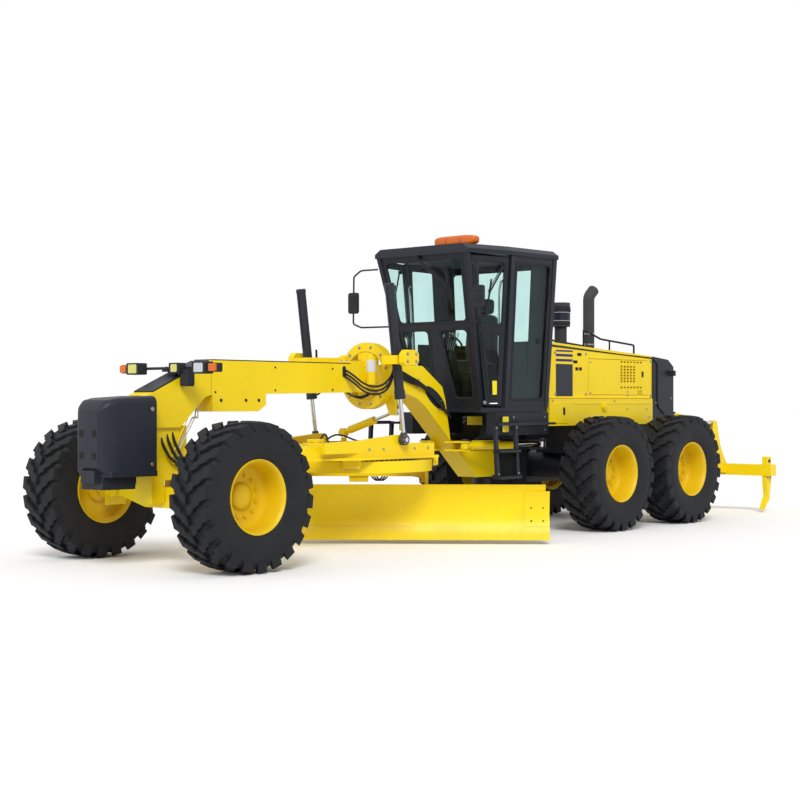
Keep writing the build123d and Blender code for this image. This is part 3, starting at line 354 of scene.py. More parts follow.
def flank_rods(mesh, rods):
    """Rods that lie across the machine; columns: x, z, both ends' y, radius, sides."""
    for side in (1, -1):
        for x, z, y0, y1, radius, sides in rods:
            add_rod(mesh, (x, side * y0, z), (x, side * y1, z), radius, sides)


def flank_bolts(mesh, y, spots, radius, height):
    for side in (1, -1):
        add_bolts(mesh, [(x, side * y, z) for x, z in spots], (0, side, 0), radius, height)


def flank_tubes(name, points, *rest):
    for label, side in SIDES:
        tube(name.format(label), [mirrored(p, side) for p in points], *rest)


BINS = {}


def bin_of(name, look, body="rear_frame", edge=0.0):
    """The mesh that collects small shapes of one look on one body."""
    return BINS.setdefault((name, look, body, edge), bmesh.new())


def flush_bins():
    for (name, look, body, edge), mesh in BINS.items():
        piece = finish_piece(mesh, name, look, body)
        if edge:
            bevel(piece, edge)


def rounded(x0, x1, z0, z1, radius, steps=4):
    """A rectangle's outline with round corners."""
    points = []
    for cx, cz, first in ((x1 - radius, z1 - radius, 0), (x0 + radius, z1 - radius, 1),
                          (x0 + radius, z0 + radius, 2), (x1 - radius, z0 + radius, 3)):
        for k in range(steps + 1):
            a = math.pi / 2 * (first + k / steps)
            points.append((cx + radius * math.cos(a), cz + radius * math.sin(a)))
    return points


def softened(points, radius):
    """Control points of a bent tube: each corner is held by a point on either side."""
    points = [Vector(p) for p in points]
    held = [points[0]]
    for before, here, after in zip(points, points[1:], points[2:]):
        for other in (before, after):
            reach = min(radius, (other - here).length * 0.45)
            spot = here + (other - here).normalized() * reach
            held += [spot] if other is after else [spot, here]
    return held + [points[-1]]


def tube(name, points, radius, look="hose", body="rear_frame", bend=0.0):
    """A round tube or hose that is fixed along its run; bend 0 keeps the points as given."""
    data = bpy.data.curves.new(name, "CURVE")
    data.dimensions = "3D"
    data.bevel_depth = radius
    data.bevel_resolution = 3
    data.resolution_u = 6
    data.use_fill_caps = True
    spline = data.splines.new("NURBS")
    places = softened(points, bend) if bend else [Vector(p) for p in points]
    spline.points.add(len(places) - 1)
    for point, place in zip(spline.points, places):
        point.co = (place.x + AXLE_X, place.y, place.z, 1)
    spline.order_u = 3
    spline.use_endpoint_u = True
    data.materials.append(MAT[look])
    piece = bpy.data.objects.new(name, data)
    bpy.context.scene.collection.objects.link(piece)
    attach(piece, body)


# ---------------------------------------------------------------- wheels
LUG_COUNT = 22
LUG_DEPTH = 0.046
# one tread bar; columns: share of the half width, turn in degrees, half width in degrees,
# height below the tip
LUG_STATIONS = ((0.03, 0.0, 3.2, 0.0), (0.33, 3.2, 3.5, 0.0), (0.37, 6.2, 4.0, 0.001),
                (0.66, 9.2, 4.2, 0.003), (0.71, 12.0, 4.6, 0.005), (0.96, 14.5, 4.9, 0.012),
                (1.0, 15.0, 4.6, 0.035), (0.985, 15.8, 3.9, 0.105))
# tyre's flank from its bead to the tread, and the rim's section; columns: y, radius
TYRE_FLANK = ((0.186, 0.345), (0.206, 0.352), (0.213, 0.372), (0.222, 0.384), (0.236, 0.42), (0.249, 0.47),
              (0.2565, 0.53), (0.2575, 0.585), (0.2525, 0.635), (0.24, 0.672))
RIM_SECTION = ((0.2, 0.3465), (0.2135, 0.3715), (0.2195, 0.3725), (0.2255, 0.37), (0.2262, 0.364),
               (0.214, 0.35), (0.198, 0.338), (0.15, 0.33), (0.12, 0.322), (0.02, 0.318), (-0.005, 0.314),
               (-0.03, 0.3), (-0.04, 0.272), (-0.045, 0.235), (-0.043, 0.185), (-0.045, 0.06),
               (-0.075, 0.06), (-0.075, 0.3), (-0.09, 0.322), (-0.19, 0.325), (-0.226, 0.362),
               (-0.226, 0.372), (-0.2135, 0.3715), (-0.2, 0.3465))
HUB_SECTION = ((-0.1, 0.0005), (-0.1, 0.138), (-0.034, 0.138), (-0.012, 0.128), (0.002, 0.1),
               (0.01, 0.06), (0.012, 0.0005))


def add_lug(mesh, centre, side, half_side, turn, radius, half_width):
    rows = []
    for share, shift, half, drop in LUG_STATIONS:
        y = half_side * share * half_width
        shoulder = drop > 0.1
        row = []
        for offset, depth in ((-half - 0.7, LUG_DEPTH + 0.012), (-half, 0.0), (half, 0.0),
                              (half + 0.7, LUG_DEPTH + 0.012)):
            inward = 0.03 if shoulder and depth else 0.0
            a = math.radians(turn + shift + offset)
            r = radius - drop - (depth * 0.3 if shoulder else depth)
            row.append(mesh.verts.new(centre + Vector((r * math.cos(a), side * (y - half_side * inward),
                                                       r * math.sin(a)))))
        rows.append(row)
    flip = side * half_side < 0
    quads = [(first[i], second[i], second[i + 1], first[i + 1])
             for first, second in zip(rows, rows[1:]) for i in range(3)]
    for quad in quads + [rows[0][::-1], rows[-1]]:
        mesh.faces.new(quad[::-1] if flip else quad)


def make_tyre(place, centre, side, radius, half_width):
    mesh = bmesh.new()
    tread = radius - LUG_DEPTH
    half = [*TYRE_FLANK, (0.214, tread - 0.004), (0.12, tread + 0.004), (0.0, tread + 0.006)]
    lathe(mesh, half + [(-y, r) for y, r in half[-2::-1]], centre, side, 96, closed=False)
    pitch = 360.0 / LUG_COUNT
    for half_side, stagger in ((1, 0.0), (-1, pitch / 2)):
        for index in range(LUG_COUNT):
            add_lug(mesh, centre, side, half_side, index * pitch - 90 + stagger, radius - 0.001, half_width)
    piece = finish_piece(mesh, f"tyre_skin_{place}", "tyre", f"wheel_{place}", 32.0)
    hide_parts(f"tyre_{place}")


def make_rim(place, centre, side):
    mesh = bmesh.new()
    lathe(mesh, RIM_SECTION, centre, side, 80)
    lathe(mesh, HUB_SECTION, centre, side, 48, closed=False)
    nuts = [centre + Vector((x, side * -0.045, z)) for x, z in circle(12, 0.205, 0.5)]
    add_bolts(mesh, nuts, (0, side, 0), 0.016, 0.022)
    # the valve's guard on the rim's barrel
    a = math.radians(-28)
    valve = centre + Vector((0.3 * math.cos(a), side * 0.04, 0.3 * math.sin(a)))
    add_bolts(mesh, [valve], (0, side, 0), 0.013, 0.045)
    # the rim's paint is darkened as painted shade from the tyre
    piece = finish_piece(mesh, f"rim_skin_{place}", "rim_yellow_shaded", f"wheel_{place}", 40.0)
    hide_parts(f"rim_{place}")


def make_wheels():
    for label, side in SIDES:
        for row in ("front", "middle", "rear"):
            place = f"{row}_{label}"
            centre = joint_place(f"wheel_{place}_spin")
            low, high = node_box(f"tyre_{place}")
            make_tyre(place, centre, side, (high.z - low.z) / 2, (high.y - low.y) / 2)
            make_rim(place, centre, side)


# ---------------------------------------------------------------- hood
HOOD_Y = 0.62
TANK_Y = 0.68
HOOD_FRONT, HOOD_REAR = -6.02, -8.46
# columns: first and last station, foot and head, rows then columns of slots
LOUVRES = ((-8.205, -7.625, 2.212, 2.236, 1, 7), (-8.03, -7.625, 1.935, 2.18, 6, 5),
           (-8.205, -7.625, 1.858, 1.884, 1, 7), (-8.205, -8.07, 1.775, 1.838, 2, 2))


def slot_lines():
    """Edges of every slot as (x0, x1, z0, z1)."""
    slots = []
    for x0, x1, z0, z1, rows, columns in LOUVRES:
        wide, tall = (x1 - x0) / columns, (z1 - z0) / rows
        half_x, half_z = wide * 0.33, tall * (0.33 if rows > 1 else 0.45)
        for row in range(rows):
            for column in range(columns):
                cx, cz = x0 + (column + 0.5) * wide, z0 + (row + 0.5) * tall
                slots.append((cx - half_x, cx + half_x, cz - half_z, cz + half_z))
    return slots


def pierced_panel(mesh, low, high, slots):
    """A flat panel between two corners with the slots cut through it along Y."""
    xs = sorted({low.x, high.x, *[v for s in slots for v in s[:2]]})
    zs = sorted({low.z, high.z, *[v for s in slots for v in s[2:]]})
    points = {}

    def vert(i, k, y):
        if (i, k, y) not in points:
            points[i, k, y] = mesh.verts.new((xs[i], y, zs[k]))
        return points[i, k, y]

    def is_solid(i, k):
        if not (0 <= i < len(xs) - 1 and 0 <= k < len(zs) - 1):
            return False
        mx, mz = (xs[i] + xs[i + 1]) / 2, (zs[k] + zs[k + 1]) / 2
        return not any(s[0] < mx < s[1] and s[2] < mz < s[3] for s in slots)

    for i in range(len(xs) - 1):
        for k in range(len(zs) - 1):
            if not is_solid(i, k):
                continue
            for y in (low.y, high.y):
                mesh.faces.new((vert(i, k, y), vert(i + 1, k, y), vert(i + 1, k + 1, y), vert(i, k + 1, y)))
            for di, dk in ((-1, 0), (1, 0), (0, -1), (0, 1)):
                if not is_solid(i + di, k + dk):
                    a = (i + (di > 0), k + (dk > 0))
                    b = (a[0], a[1] + 1) if di else (a[0] + 1, a[1])
                    mesh.faces.new((vert(*a, low.y), vert(*b, low.y), vert(*b, high.y), vert(*a, high.y)))
    bmesh.ops.recalc_face_normals(mesh, faces=mesh.faces)


def make_engine_doors():
    for label, side in SIDES:
        name = f"engine_door_{label}"
        mesh = bmesh.new()
        pierced_panel(mesh, *node_box(name), slot_lines())
        piece = finish_piece(mesh, f"louvred_door_{label}", "yellow", name)
        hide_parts(name)
        out = side * 0.624
        bolts = [(x, out, z) for x, z in ((-6.895, 2.205), (-6.895, 1.795), (-7.812, 1.813), (-7.812, 1.765))]
        add_bolts(bin_of(f"door_bolts_{label}", "steel", name), bolts, (0, side, 0), 0.011, 0.008)
        add_plate(bin_of(f"door_latch_{label}", "plastic", name, 0.002),
                  rounded(-8.215, -8.18, 2.02, 2.1, 0.012), "y", out, out + side * 0.012)
        # mesh behind the slots, so that they read as screened openings
        screen = bin_of(f"door_screen_{label}", "grille_dark", name)
        for x0, x1, z0, z1, *_ in LOUVRES:
            add_box(screen, x0, x1, side * 0.598, side * 0.594, z0, z1)


def hood_line(x, top):
    """Height of the hood's yellow edge, or of its black cap when top is true."""
    share = (x - HOOD_FRONT) / (HOOD_REAR - HOOD_FRONT)
    first, last = (2.45, 2.32) if top else (2.39, 2.3)
    return first + share * (last - first)


def make_hood():
    # black cap: a folded skin over the hood's top and upper edges
    out = HOOD_Y + 0.006
    ends = []
    for x in (-5.872, HOOD_FRONT, HOOD_REAR - 0.002):
        edge, top = hood_line(max(x, HOOD_REAR), False), hood_line(x, True)
        half = [(out - 0.04, top + 0.006), (out, top - 0.035), (out, edge), (out - 0.012, edge),
                (out - 0.012, edge + 0.004)]
        ends.append([(x, y, z) for y, z in half + [(-y, z) for y, z in half[::-1]]])
    mesh = bmesh.new()
    skin(mesh, ends)
    bevel(finish_piece(mesh, "hood_cap", "charcoal"), 0.012, 3)
    film = (-6.48, -6.094, HOOD_Y, HOOD_Y + 0.0015)
    flank_boxes(bin_of("hood_stripes", "navy"), [(*film, z0, z1) for z0, z1 in (
        (2.331, 2.353), (2.268, 2.302), (2.203, 2.236))])
    flank_boxes(bin_of("hood_blank_panel", "panel_black"), [(*film, 1.745, 2.17)])
    vents = bin_of("hood_vents", "grille_dark")
    flank_plates(vents, [rounded(x, x + 0.1, z, z + 0.038, 0.016) for x, z in ((-6.685, 2.285), (-6.59, 2.185))],
                 HOOD_Y, HOOD_Y + 0.004)
    flank_boxes(vents, [(x - 0.032, x + 0.032, HOOD_Y, HOOD_Y + 0.003, 2.09, 2.132) for x in (-6.575, -6.66)])
    flank_bolts(bin_of("hood_bolts", "steel"), HOOD_Y, (
        (-6.075, 2.315), (-6.075, 1.775), (-6.79, 2.315), (-6.79, 1.775), (-8.42, 2.25), (-8.42, 1.76)),
        0.014, 0.012)
    # lower boxes: small door, seam, cap, fixings
    door = bin_of("tank_doors", "yellow", edge=0.004)
    flank_plates(door, [rounded(-6.275, -5.965, 1.392, 1.658, 0.02)], TANK_Y, TANK_Y + 0.007)
    flank_plates(door, [rounded(-8.3, -6.4, 1.64, 1.668, 0.01)], TANK_Y, TANK_Y + 0.005)
    flank_plates(bin_of("tank_latches", "plastic", edge=0.003), [rounded(-6.205, -6.165, 1.5, 1.6, 0.015)],
                 TANK_Y + 0.006, TANK_Y + 0.016)
    flank_rods(bin_of("tank_caps", "yellow", edge=0.003), (
        (-7.132, 1.6, TANK_Y - 0.01, TANK_Y + 0.03, 0.05, 32),
        (-7.132, 1.6, TANK_Y + 0.03, TANK_Y + 0.042, 0.022, 24)))
    flank_bolts(bin_of("tank_bolts", "steel"), TANK_Y, (
        (-5.94, 1.69), (-7.4, 1.685), (-7.72, 1.57), (-8.22, 1.57), (-8.3, 1.46), (-7.72, 1.43), (-5.94, 1.4)),
        0.011, 0.009)
    flank_boxes(bin_of("tank_blank_label", "pale"), [(-7.06, -6.95, TANK_Y, TANK_Y + 0.0012, 1.455, 1.485)])


def make_shroud():
    flank_plates(bin_of("shroud_trim", "black", edge=0.004), [rounded(-8.475, -8.452, 1.44, 2.3, 0.008)],
                 HOOD_Y, HOOD_Y + 0.012)
    # a folded edge that runs down beside the radiator
    y = HOOD_Y + 0.004
    flank_tubes("shroud_edge_{}", [(-8.5, y, 2.27), (-8.6, y, 2.22), (-8.6, y, 1.62), (-8.78, y, 1.5)],
                0.014, "black", "rear_frame", 0.09)
    flank_bolts(bin_of("shroud_bolts", "steel"), HOOD_Y, (
        (-8.56, 2.24), (-8.56, 1.66), (-8.98, 2.12), (-8.98, 1.72), (-8.98, 1.42), (-8.76, 1.42)), 0.01, 0.008)
    # rear grille: a frame with level bars
    x, half, low, high = -9.05, 0.48, 1.46, 2.08
    border = bin_of("grille_frame", "black", edge=0.003)
    for y0, y1, z0, z1 in ((-0.52, 0.52, high, 2.12), (-0.52, 0.52, 1.42, low), (-0.52, -half, low, high),
                           (half, 0.52, low, high), (-0.02, 0.02, low, high)):
        add_box(border, x - 0.014, x + 0.002, y0, y1, z0, z1)
    bars = bin_of("grille_bars", "charcoal")
    for row in range(18):
        z = 1.478 + row * 0.0345
        add_plate(bars, [(x + 0.002, z), (x - 0.01, z - 0.01), (x - 0.011, z - 0.004), (x + 0.002, z + 0.008)],
                  "y", -half, half)
    add_box(bin_of("grille_dark", "grille_dark"), x - 0.001, x + 0.001, -half, half, low, high)


# ---------------------------------------------------------------- cab
SILL_Z, ROOF_Z = 1.6, 3.5
POST_A = ((-4.62, 0.52), (-4.12, 0.7))
POST_B = ((-4.82, 0.75), (-4.83, 0.85))
POST_C = ((-5.62, 0.78), (-5.65, 0.9))


def corner(post, level, side=1):
    return Vector((post[level][0], side * post[level][1], (SILL_Z, ROOF_Z)[level]))


FRONT_WALL = (corner(POST_A, 0, -1), corner(POST_A, 0), corner(POST_A, 1), corner(POST_A, 1, -1))
DOOR_WALL = (corner(POST_A, 0), corner(POST_B, 0), corner(POST_B, 1), corner(POST_A, 1))
SIDE_WALL = (corner(POST_B, 0), corner(POST_C, 0), corner(POST_C, 1), corner(POST_B, 1))
REAR_WALL = (corner(POST_C, 0), corner(POST_C, 0, -1), corner(POST_C, 1, -1), corner(POST_C, 1))
DOOR_PANES = ((0.105, 0.1, 0.53, 0.945), (0.105, 0.1, 0.06, 0.49))


def wall_out(wall, side=1):
    a, b, c, d = wall
    return mirrored(((b - a) + (c - d)).cross((d - a) + (c - b)).normalized(), side)


def wall_point(wall, s, t, out=0.0, side=1):
    """A point at shares s along and t up a cab wall, out metres off its middle surface."""
    a, b, c, d = wall
    return mirrored(a.lerp(b, s).lerp(d.lerp(c, s), t) + wall_out(wall) * out, side)


def add_gasket(mesh, wall, start, end, t0, t1, face, side=1):
    """Rubber seal with round corners over the edge of a window."""
    a, b, c, d = wall
    low_way, high_way = (b - a).normalized(), (c - d).normalized()
    left = (a + low_way * start, d + high_way * start)
    right = (b - low_way * end, c - high_way * end)
    p00, p01, p10, p11 = [foot.lerp(head, t) for foot, head in (left, right) for t in (t0, t1)]
    wide, tall = (p10 - p00).length / 2 + (p11 - p01).length / 2, (p01 - p00).length
    out = wall_out(wall)
    loops = []
    for margin, radius, proud in ((-0.012, 0.02, -0.006), (-0.012, 0.02, 0.004), (0.004, 0.035, 0.009),
                                  (0.02, 0.05, 0.004), (0.02, 0.05, -0.02)):
        loops.append([mirrored(p00.lerp(p10, u / wide).lerp(p01.lerp(p11, u / wide), v / tall)
                               + out * (face + proud), side)
                      for u, v in rounded(margin, wide - margin, margin, tall - margin, radius, 5)])
    skin(mesh, loops, (False, False))


def make_cab_seals():
    shell = bmesh.new()
    for pane in ((0.07, 0.07, 0.555, 0.965), (0.07, 0.69, 0.06, 0.515), (0.69, 0.07, 0.06, 0.515)):
        add_gasket(shell, FRONT_WALL, *pane, 0.022)
    add_gasket(shell, REAR_WALL, 0.12, 0.12, 0.42, 0.94, 0.022)
    for label, side in SIDES:
        add_gasket(shell, SIDE_WALL, 0.07, 0.07, 0.05, 0.95, 0.022, side)
        mesh = bmesh.new()
        for pane in DOOR_PANES:
            add_gasket(mesh, DOOR_WALL, *pane, 0.019, side)
        finish_piece(mesh, f"door_seals_{label}", "hose", f"cab_door_{label}", 50)
    finish_piece(shell, "cab_seals", "hose", smooth=50)
    bolts = bin_of("cab_bolts", "black")
    add_bolts(bolts, [wall_point(FRONT_WALL, 0.1 + 0.8 * k / 6, 0.981, 0.022) for k in range(7)],
              wall_out(FRONT_WALL), 0.008, 0.007)
    for side in (1, -1):
        border = [wall_point(SIDE_WALL, s, t, 0.022, side) for s in (0.05, 0.95) for t in (0.1, 0.5, 0.9)]
        add_bolts(bolts, border, wall_out(SIDE_WALL, side), 0.008, 0.007)


def make_wiper(name, wall, places, side=1, body="rear_frame"):
    """Pantograph wiper; places: the arm's root and joint, then the blade's head and foot."""
    root, joint, head, foot = [wall_point(wall, *p, side) for p in places]
    shift = (joint - root).normalized().cross(Vector((1, side, 0))).normalized() * 0.022
    tube(f"{name}_arm", [root, joint], 0.011, "black", body)
    tube(f"{name}_link", [root + shift, joint + shift], 0.006, "black", body)
    tube(f"{name}_blade", [head, foot], 0.012, "hose", body)
    mesh = bin_of(f"{name}_pivot", "black", body, 0.003)
    out = wall_out(wall, side)
    add_rod(mesh, root - out * 0.04, root + out * 0.012, 0.024, 20)
    add_rod(mesh, joint - out * 0.01, joint + out * 0.012, 0.014, 16)


def make_wipers():
    make_wiper("front_wiper", FRONT_WALL, ((0.47, 0.982, 0.055), (0.77, 0.79, 0.05), (0.765, 0.915, 0.042),
                                           (0.795, 0.64, 0.042)))
    for label, side in SIDES:
        make_wiper(f"door_wiper_{label}", DOOR_WALL, ((0.8, 0.925, 0.05), (0.44, 0.745, 0.045),
                                                      (0.5, 0.83, 0.036), (0.34, 0.6, 0.036)),
                   side, f"cab_door_{label}")


def add_catch(mesh, spot, out, rise, total, radius, knob, sides):
    """A round boss with a smaller knob on it."""
    add_rod(mesh, spot, spot + out * rise, radius, sides[0])
    add_rod(mesh, spot + out * rise, spot + out * total, knob, sides[1])


def make_cab_fittings():
    flank_tubes("grab_rail_{}", [(-4.795, 0.775, 3.17), (-4.745, 0.745, 3.16), (-4.735, 0.725, 3.05),
                                 (-4.765, 0.69, 2.25), (-4.79, 0.715, 2.2)], 0.014, "chrome", "rear_frame", 0.05)
    lining = bin_of("cab_lining", "lining", edge=0.006)
    for label, side in SIDES:
        door = f"cab_door_{label}"
        pull = [wall_point(DOOR_WALL, s, 0.03, out, side) for s, out in (
            (0.3, 0.02), (0.3, 0.055), (0.62, 0.055), (0.62, 0.02))]
        tube(f"door_pull_{label}", pull, 0.009, "chrome", door, 0.02)
        out = wall_out(DOOR_WALL, side)
        latch = bin_of(f"door_latch_{label}", "steel", door, 0.003)
        add_catch(latch, wall_point(DOOR_WALL, 0.14, 0.035, 0.019, side), out, 0.02, 0.034, 0.024, 0.012, (20, 16))
        catch = bin_of("side_catches", "plastic", edge=0.003)
        add_catch(catch, wall_point(SIDE_WALL, 0.74, 0.44, 0.005, side), wall_out(SIDE_WALL, side),
                  0.014, 0.024, 0.036, 0.022, (28, 24))
        # blank label inside the lower pane
        label_edge = [wall_point(DOOR_WALL, s, t, 0.0065, side) for s, t in (
            (0.5, 0.085), (0.66, 0.085), (0.66, 0.175), (0.5, 0.175))]
        mesh = bmesh.new()
        skin(mesh, [label_edge, [p + out * 0.0015 for p in label_edge]])
        finish_piece(mesh, f"door_label_{label}", "label_yellow", door, 0)
        post = [wall_point(SIDE_WALL, s, t, -0.055, side) for s, t in (
            (0.6, 0.05), (0.97, 0.05), (0.97, 0.95), (0.55, 0.95))]
        skin(lining, [post, [p - Vector((0, side * 0.01, 0)) for p in post]])
    # trim panels behind the lower windows, lining of the rear wall, the roof and the floor
    flank_boxes(lining, ((-5.58, -4.9, 0.735, 0.7, 1.605, 2.42), (-5.3, -4.86, 0.3, 0.62, 1.605, 2.12)))
    add_box(lining, -5.6, -5.575, -0.7, 0.7, 1.605, 2.4)
    add_box(lining, -5.6, -4.25, -0.66, 0.66, 3.445, 3.475)
    add_box(lining, -4.86, -4.64, -0.48, 0.48, 1.605, 1.63)


def superellipsoid(mesh, centre, halves, turn_deg, power=0.42, rings=20, sectors=40):
    """A crowned pad: a box whose faces swell and whose edges are round."""
    def bent(value):
        return math.copysign(abs(value) ** power, value)

    turn = Matrix.Rotation(math.radians(turn_deg), 3, "Y") @ Matrix.Diagonal(halves)
    rows = [[(0, 0, -1)]]
    for i in range(1, rings):
        lat = math.pi * i / rings - math.pi / 2
        reach = bent(math.cos(lat))
        rows.append([(reach * bent(x), reach * bent(y), bent(math.sin(lat))) for x, y in circle(sectors)])
    rows.append([(0, 0, 1)])
    skin(mesh, [[Vector(centre) + turn @ Vector(p) for p in row] for row in rows], (False, False))


def make_steering_wheel(mesh, hub, tilt_deg):
    ring_radius, grip = 0.19, 0.0135
    tilt = math.radians(tilt_deg)
    axis = Vector((-math.sin(tilt), 0, math.cos(tilt)))
    left = Vector((0, 1, 0))
    across = axis.cross(left).normalized()
    add_rod(mesh, hub - axis * 0.03, hub + axis * 0.012, 0.045, 28)
    ways = [left * c + across * s for c, s in circle(56)]
    skin(mesh, [[hub + way * (ring_radius + u) + axis * v for u, v in circle(12, grip)] for way in ways],
         (False, False), closed=True)
    for c, s in circle(3, phase=0.75):
        add_rod(mesh, hub, hub + (left * c + across * s) * 0.185, 0.011, 12)


def make_cab_inside():
    """Padded seat on its box, console with levers, column and steering wheel."""
    for name, centre, halves, turn in (("seat_cushion", (-5.115, 0, 2.125), (0.245, 0.245, 0.075), -4),
                                       ("seat_back", (-5.325, 0, 2.475), (0.07, 0.235, 0.325), -6),
                                       ("seat_headrest", (-5.385, 0, 2.905), (0.048, 0.13, 0.1), -4)):
        mesh = bmesh.new()
        superellipsoid(mesh, centre, halves, turn)
        pad = finish_piece(mesh, name, "seat", smooth=60)
    mesh = bmesh.new()
    add_box(mesh, -5.31, -4.95, -0.18, 0.18, 1.6, 1.95)
    add_box(mesh, -5.35, -4.91, -0.22, 0.22, 1.95, 2.045)
    flank_boxes(mesh, ((-5.3, -4.94, 0.262, 0.32, 2.28, 2.33), (-5.3, -5.25, 0.262, 0.3, 2.08, 2.28)))
    for y in (0.05, -0.05):
        add_rod(mesh, (-5.375, y, 2.76), (-5.38, y, 2.84), 0.008, 12)
    add_plate(mesh, [(-4.655, 1.6), (-4.8, 1.6), (-4.64, 2.26), (-4.56, 2.33), (-4.5, 2.3)], "y", -0.13, 0.13)
    add_rod(mesh, (-4.56, 0, 2.27), (-4.62, 0, 2.42), 0.03)
    make_steering_wheel(mesh, Vector((-4.62, 0, 2.43)), 35)
    inside = finish_piece(mesh, "cab_inside", "lining")
    bevel(inside, 0.008)
    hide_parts("cab_interior")
    stems, knobs = bin_of("lever_stems", "steel"), bin_of("lever_knobs", "pale", edge=0.003)
    for side in (1, -1):
        for k in range(4):
            foot = Vector((-4.565, side * (0.035 + 0.03 * k), 2.31))
            head = Vector((-4.6, side * (0.05 + 0.045 * k), 2.5))
            add_rod(stems, foot, head, 0.005, 10)
            add_rod(knobs, head - UP * 0.006, head + Vector((-0.004, 0, 0.042)), 0.011, 16, 0.008)


# ---------------------------------------------------------------- lamps and mirrors
def face_plate(mesh, y, z, half_y, half_z, radius, x0, x1, steps=4):
    """A plate with round corners that faces along the machine, centred on y and z."""
    add_plate(mesh, rounded(y - half_y, y + half_y, z - half_z, z + half_z, radius, steps), "x", x0, x1)


def make_lamps():
    """Lamp bar over the beam's front: housings, lenses, indicators and the box under them."""
    lamp_z, bar_x = 2.02, -0.116
    mesh = bmesh.new()
    add_box(mesh, -0.128, -0.098, -0.6, 0.6, 2.008, 2.036)
    add_box(mesh, -0.13, -0.09, -0.15, 0.2, 1.985, 2.032)
    add_box(mesh, -0.13, -0.09, -0.06, 0.06, 1.935, 2.01)
    lenses = {"lamp": bmesh.new(), "lamp_white": bmesh.new(), "amber": bmesh.new()}
    for y, half, tall, front, look in ((0.52, 0.1, 0.062, 0.005, "lamp_white"),
                                       (-0.52, 0.1, 0.062, 0.005, "lamp"), (0.12, 0.08, 0.055, -0.015, "lamp")):
        face_plate(mesh, y, lamp_z, half, tall, 0.016, bar_x, front - 0.004)
        face_plate(lenses[look], y, lamp_z, half - 0.032, tall - 0.015, 0.014, front - 0.006, front + 0.001)
    for y in (0.7, -0.7):
        face_plate(mesh, y, lamp_z, 0.055, 0.046, 0.012, bar_x, -0.045)
        face_plate(lenses["amber"], y, lamp_z, 0.048, 0.039, 0.012, -0.045, -0.012)
    flank_boxes(mesh, [(-0.112, -0.092, 0.6, 0.655, 2.012, 2.032)])
    add_plate(mesh, rounded(0.168, 0.297, 1.833, 2.008, 0.02), "x", -0.148, -0.062)
    add_bolts(mesh, [(-0.11, y, 2.034) for y in (-0.1, 0.02, 0.14)], UP, 0.009, 0.008)
    bar = finish_piece(mesh, "lamp_bar", "plastic", "front_frame")
    bevel(bar, 0.005)
    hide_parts("headlamps")
    for look, lens in lenses.items():
        bevel(finish_piece(lens, f"lens_{look}", look, "front_frame"), 0.004)


def make_mirrors():
    """Tubular brackets with mirrors, and the hood's hand rails."""
    flank_tubes("mirror_bracket_{}", [(-4.13, 0.74, 3.35), (-3.985, 0.9, 3.335), (-3.96, 1.0, 3.26),
                                      (-3.96, 1.01, 2.66), (-4.02, 0.93, 2.615), (-4.33, 0.655, 2.63)],
                0.011, "black", "rear_frame", 0.06)
    mirror_y, mirror_z = 1.01, 2.925
    holder, faces = bmesh.new(), bmesh.new()
    for y in (mirror_y, -mirror_y):
        face_plate(holder, y, mirror_z, 0.078, 0.133, 0.03, -3.986, -3.944, 5)
        face_plate(faces, y, mirror_z, 0.068, 0.123, 0.024, -3.9885, -3.9855, 5)
    ribs = [2.86 + 0.032 * k for k in range(5)]
    flank_boxes(holder, [(-3.945, -3.938, mirror_y - 0.058, mirror_y + 0.058, z, z + 0.01) for z in ribs])
    flank_boxes(holder, [(-3.975, -3.938, 0.985, 1.035, 2.9, 2.96)])
    rail_y = 0.4
    flank_tubes("hood_rail_{}", [(x, rail_y, z) for x, z in (
        (-7.06, 2.4), (-7.06, 2.66), (-7.48, 2.54), (-8.33, 2.48), (-8.33, 2.33))],
        0.014, "black", "rear_frame", 0.05)
    flank_tubes("rail_stay_{}", [(-7.7, rail_y, 2.36), (-7.7, rail_y, 2.525)], 0.012, "black")
    feet = bin_of("rail_feet", "black", edge=0.002)
    for x, top in ((-7.06, 2.4), (-7.7, 2.372), (-8.33, 2.335)):
        for y in (rail_y, -rail_y):
            add_post(feet, x, y, top - 0.02, top + 0.006, 0.032, 20)
    holder = finish_piece(holder, "mirror_holders", "plastic")
    bevel(holder, 0.005)
    finish_piece(faces, "mirror_faces", "chrome")
    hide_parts("rails_and_mirrors")


def make_beacon():
    top = node_box("beacon")[1].z
    mesh = bmesh.new()
    add_plate(mesh, rounded(-4.868, -4.732, -0.328, 0.328, 0.05, 6), "z", top - 0.188, top - 0.128)
    base = finish_piece(mesh, "beacon_base", "plastic")
    bevel(base, 0.01)
    lens = bmesh.new()
    superellipsoid(lens, (-4.8, 0, top - 0.065), (0.079, 0.339, 0.064), 0, 0.5, 24, 56)
    finish_piece(lens, "beacon_lens", "amber", smooth=60)
    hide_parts("beacon")
    flank_boxes(bin_of("beacon_seams", "hose"), [(-4.8795, -4.7205, 0.112, 0.118, top - 0.1, top - 0.035)])


